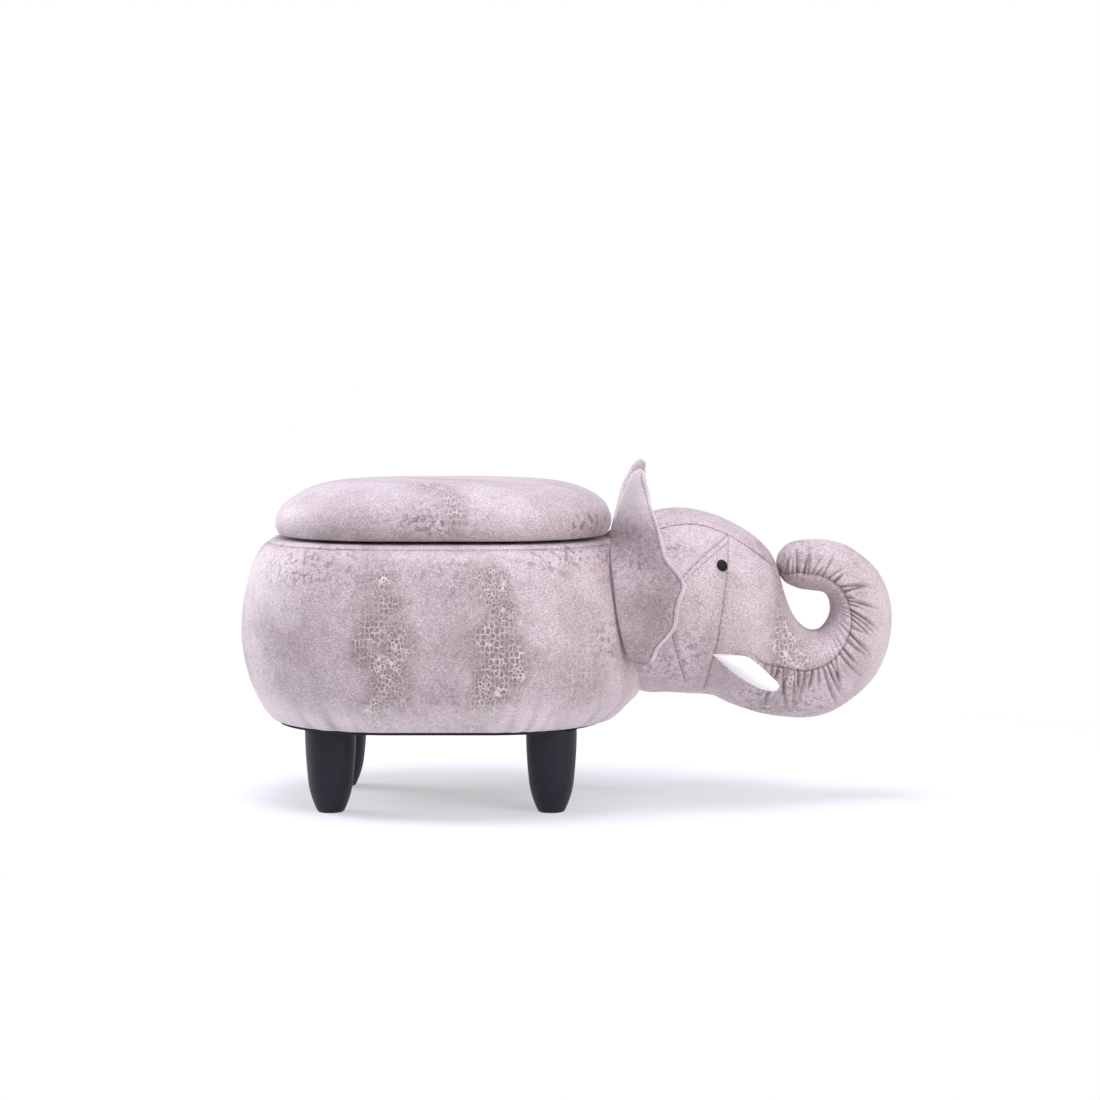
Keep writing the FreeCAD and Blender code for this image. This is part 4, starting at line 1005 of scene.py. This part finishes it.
ear_out = outward_normals(ear_form)
row, layer = np.arange(EAR_ROWS), EAR_COLUMNS // 2
lines, ups = [], []
for start in (0, layer):
    best = np.argmin(np.abs(ear_hem_gap[:, start:start + layer]), axis=1) + start
    for form, side in ((left_ear, 1), (ear_form, -1)):
        lines.append(form[row, best][EAR_ENDS] * [1, side, 1])
        ups.append(ear_out[row, best][EAR_ENDS] * [1, side, 1])
stitch_row("ear_seam_thread", lines, ups)

# %% [markdown]
# ## Materials
# A finish here is a few cloudy patterns of real size that mix colours, change the shine and lift a shallow
# relief. They could be painted on pictures and wrapped round, but patterns worked out from each piece's own
# coordinates need no seams and stay sharp from close by.

# %% Material helpers
def start_material(name):
    """Empty material with its shader and output, and the object's own coordinates."""
    material = bpy.data.materials.new(name)
    material.use_nodes = True
    tree = material.node_tree
    tree.nodes.clear()
    shader = add(tree, "ShaderNodeBsdfPrincipled")
    add(tree, "ShaderNodeOutputMaterial", {"Surface": shader.outputs[0]})
    place = add(tree, "ShaderNodeTexCoord").outputs["Object"]
    return material, tree, shader, place


def per_mm(size):
    """Texture scale for a pattern of this size in millimetres, on coordinates in metres."""
    return 1000.0 / size


def noise(tree, place, size, detail, rough=0.5):
    """Cloudy pattern of a size in millimetres, with values round a half."""
    inputs = {"Vector": place, "Scale": per_mm(size), "Detail": detail, "Roughness": rough}
    return add(tree, "ShaderNodeTexNoise", inputs).outputs[0]


def mix(tree, share, first, second):
    """Two colours, hex or sockets, mixed by a share."""
    first, second = (linear(c) if isinstance(c, str) else c for c in (first, second))
    return add(tree, "ShaderNodeMix", {0: share, 6: first, 7: second}, data_type="RGBA").outputs[2]


def surface(tree, shader, colour, rough, relief):
    """Give the shader its colour, roughness and relief."""
    for socket, source in (("Base Color", colour), ("Roughness", rough), ("Normal", relief)):
        tree.links.new(source, shader.inputs[socket])


print("texture scale of a 5 mm pattern", per_mm(5))

# %% [markdown]
# ## Leatherette
# The cover is polyurethane leatherette, embossed and then wiped with a paler top coat, so it looks worn: pink
# grey with taupe clouds, fine pebble grain, and patches where a scaly crackle shows as pale veins over darker
# cells. The grain of the real stuff is under a millimetre; it is drawn at nearly two so that it shows.

# %% Leatherette
def distressed_leatherette():
    """Clouds 90 mm wide, crackle cells of 4 to 6 mm in patches 113 mm apart, pebbles of 6 mm, grain of 1.7 mm."""
    material, tree, shader, place = start_material("polyurethane_leatherette_embossed_wiped")

    def mark(name):
        """Value that a piece carries on its points."""
        return add(tree, "ShaderNodeAttribute", attribute_name=name).outputs["Fac"]

    # pink grey with taupe clouds and smudges
    clouds = noise(tree, place, 90, 3.0, 0.6)
    base = mix(tree, remap(tree, clouds, 0.34, 0.66, smooth=True), "#D3C4CA", "#BFAEB3")
    smudge = noise(tree, place, 20, 6.0, 0.75)
    base = mix(tree, remap(tree, smudge, 0.48, 0.78, 0.0, 0.6), base, "#988689")

    # the print repeats every 113 mm across the cloth and every 230 mm up it
    across = add(tree, "ShaderNodeVectorMath", {0: place, 1: (1.0, 1.0, 0.0)}, operation="DOT_PRODUCT")
    wave = calc(tree, "MULTIPLY_ADD", across.outputs["Value"], 2 * math.pi / 0.1126, 19.46)
    sway = noise(tree, place, 60, 2.0)
    band = calc(tree, "COSINE", calc(tree, "MULTIPLY_ADD", sway, 3.0, wave))
    height = add(tree, "ShaderNodeSeparateXYZ", {0: place}).outputs[2]
    level = calc(tree, "MULTIPLY_ADD", height, 2 * math.pi / 0.230, -2 * math.pi * 0.178 / 0.230)
    level = calc(tree, "COSINE", level)
    blotch = noise(tree, place, 48, 6.0, 0.72)
    print_at = calc(tree, "MULTIPLY_ADD", level, 0.11, calc(tree, "MULTIPLY_ADD", band, 0.17, blotch))
    wear = mark("wear")
    patch = remap(tree, print_at, 0.52, 0.74, 0.0, wear, smooth=True)
    base = mix(tree, remap(tree, print_at, 0.46, 0.72, 0.0, wear, smooth=True), base, "#8B7977")

    # dark pebbles between the patches
    between = calc(tree, "MULTIPLY_ADD", level, -0.09, clouds)
    between = remap(tree, between, 0.52, 0.66, 0.0, 0.6, smooth=True)
    between = calc(tree, "ADD", between, mark("flecks"), clamp=True)
    pebbles = remap(tree, noise(tree, place, 6, 2.0), 0.50, 0.62)
    base = mix(tree, calc(tree, "MULTIPLY", between, pebbles), base, "#85747A")

    # grain: dark pits, and tops that caught the wiped coat
    streaky = add(tree, "ShaderNodeMapping", {"Vector": place, "Scale": (0.8, 0.9, 1.25)}).outputs[0]
    grain = noise(tree, streaky, 1.7, 3.0, 0.7)
    colour = mix(tree, remap(tree, grain, 0.42, 0.72, 0.0, 0.8), base, "#867479")
    colour = mix(tree, remap(tree, grain, 0.30, 0.47, 0.45, 0.0), colour, "#EDE3E7")

    # crackle: pale veins round small or large scales, broken here and there
    warp = noise(tree, place, 8, 3.0).node.outputs["Color"]
    bent = add(tree, "ShaderNodeMix", {0: 0.004, 4: place, 5: warp}, data_type="VECTOR").outputs[1]
    scaly = add(tree, "ShaderNodeMapping", {"Vector": bent, "Scale": (1.0, 0.5, 0.78)}).outputs[0]
    small, large = (
        add(tree, "ShaderNodeTexVoronoi", {"Vector": scaly, "Scale": per_mm(size), "Randomness": loose},
            feature="DISTANCE_TO_EDGE").outputs[0] for size, loose in ((3.6, 0.8), (5.0, 0.5)))
    pick = remap(tree, sway, 0.49, 0.53)
    cell = add(tree, "ShaderNodeMix", {0: pick, 2: small, 3: large}, data_type="FLOAT").outputs[0]
    vein = remap(tree, cell, 0.02, 0.20, 1.0, 0.0, smooth=True)
    faint = remap(tree, noise(tree, place, 10, 4.0, 0.75), 0.38, 0.64, 0.12, 0.97)
    ridge = calc(tree, "MULTIPLY", calc(tree, "MULTIPLY", vein, patch), faint)
    colour = mix(tree, ridge, colour, "#E9DFE1")
    # painted light: the colour is mixed towards pale pink where the pieces are given it
    colour = mix(tree, mark("painted_light"), colour, "#EFE5EA")
    # painted shade: the colour is darkened towards #54474B in seams, folds and hollows
    colour = mix(tree, calc(tree, "MULTIPLY", mark("painted_shade"), 0.8), colour, "#54474B")

    rough = remap(tree, grain, 0.3, 0.7, 0.48, 0.66)
    pebble = add(tree, "ShaderNodeBump", {"Height": grain, "Strength": 0.45, "Distance": -0.0009}).outputs[0]
    veined = {"Height": ridge, "Strength": 0.5, "Distance": 0.0006, "Normal": pebble}
    surface(tree, shader, colour, rough, add(tree, "ShaderNodeBump", veined).outputs[0])
    shader.inputs["IOR"].default_value = 1.48
    shader.inputs["Sheen Weight"].default_value = 0.15
    return material


leatherette = distressed_leatherette()
print(leatherette.name, len(leatherette.node_tree.nodes), "nodes")

# %% [markdown]
# ## Plainer finishes
# White leatherette for the tusks, satin paint on turned wood, birch plywood, pine, zinc-plated steel, rubber,
# moulded plastic, two cloths and thread. Each is a base colour, a pattern of real size and a roughness that
# follows it. Wood is stretched along its grain.

# %% Plainer finishes
def simple_finish(name, light, dark, size, roughness, depth, stretch=(1, 1, 1), metal=0.0, ior=1.5):
    """Two colours mixed by a noise of a real size, which also drives the roughness and a shallow relief."""
    material, tree, shader, place = start_material(name)
    along = add(tree, "ShaderNodeMapping", {"Vector": place, "Scale": stretch}).outputs[0]
    cloudy = noise(tree, along, size, 4.0, 0.6)
    relief = add(tree, "ShaderNodeBump", {"Height": cloudy, "Strength": 0.4, "Distance": depth * MM}).outputs[0]
    surface(tree, shader, mix(tree, cloudy, light, dark), remap(tree, cloudy, 0.3, 0.7, *roughness), relief)
    shader.inputs["Metallic"].default_value = metal
    if not metal:
        shader.inputs["IOR"].default_value = ior
    return material


FINISHES = {
    "leatherette": leatherette,
    # clean white against the grey, a little soft in its shine
    "white_leatherette": simple_finish("white_leatherette_smooth", "#F6F5F4", "#EDECED", 3.0, (0.45, 0.6), 0.2),
    # nearly black blue with a long soft highlight down the leg
    "painted_wood": simple_finish("turned_beech_satin_paint", "#0A1021", "#070B17", 3.0, (0.42, 0.52), 0.08,
                                  (1, 1, 0.15), ior=1.43),
    # warm pale boards with streaks, seen when the lid is up
    "plywood": simple_finish("birch_plywood_sanded", "#D9BE93", "#B9986A", 6.0, (0.55, 0.7), 0.15, (0.12, 1, 1)),
    "pine": simple_finish("pine_planed", "#E3C593", "#C09A61", 7.0, (0.5, 0.65), 0.15, (0.08, 1, 1)),
    # cream pores and white fluff, both without any shine
    "foam": simple_finish("polyurethane_foam_cut", "#F0E6BF", "#DCCF9E", 1.5, (0.9, 1.0), 0.5),
    "stuffing": simple_finish("polyester_fibre_carded", "#F6F6F4", "#E4E4E2", 4.0, (0.9, 1.0), 0.8),
    # quiet grey inside, and a dull black line below; their threads are drawn coarser so that they show
    "lining_cloth": simple_finish("polyester_lining_woven", "#8B868A", "#777276", 1.2, (0.75, 0.9), 0.25),
    "dust_cloth": simple_finish("polypropylene_felt_spunbonded", "#1B1B1E", "#101012", 1.6, (0.8, 0.95), 0.3),
    # bright metal with a slightly clouded shine
    "steel": simple_finish("steel_zinc_plated", "#C9CACD", "#AEB0B4", 4.0, (0.28, 0.42), 0.03, metal=1.0),
    # dull black bumpers, matt black eyes, milky washers
    "rubber": simple_finish("rubber_moulded", "#2B2B2D", "#202022", 1.0, (0.75, 0.9), 0.1),
    "eye_plastic": simple_finish("acrylic_button_matt", "#0D0B0C", "#080707", 2.0, (0.6, 0.7), 0.01, ior=1.35),
    "washer_plastic": simple_finish("nylon_moulded", "#EDEBE6", "#DFDDD7", 2.0, (0.45, 0.6), 0.05, ior=1.53),
    # darker than the cover, so that a seam reads as a dotted line
    "thread": simple_finish("polyester_thread_twisted", "#8A797D", "#6E5F63", 0.8, (0.5, 0.65), 0.1),
}
DRESSED = {
    "leatherette": ("tub_padded_cover", "lid_padded_cover", "head_sewn_cover", "trunk_sewn_cover", "ear_sewn_left",
                    "ear_sewn_right"),
    "white_leatherette": ("tusk_stuffed_left", "tusk_stuffed_right"),
    "eye_plastic": ("eye_button_left", "eye_button_right"),
    "lining_cloth": ("box_lining_cloth", "lid_lining_cloth"),
    "dust_cloth": ("dust_cover_felt", "dust_cover_folded_edge"),
    "thread": ("head_seam_thread", "trunk_seam_thread", "rim_seam_thread", "ear_seam_thread"),
}
slot_of = {part["node"]: part["material_slot"] for part in frame["record"]["subparts"]}
for node, obj in frame["nodes"].items():
    obj.data.materials.clear()
    obj.data.materials.append(FINISHES[slot_of[node]])
for finish, names in DRESSED.items():
    for name in names:
        bpy.data.objects[name].data.materials.append(FINISHES[finish])
print("finishes", sorted(FINISHES))
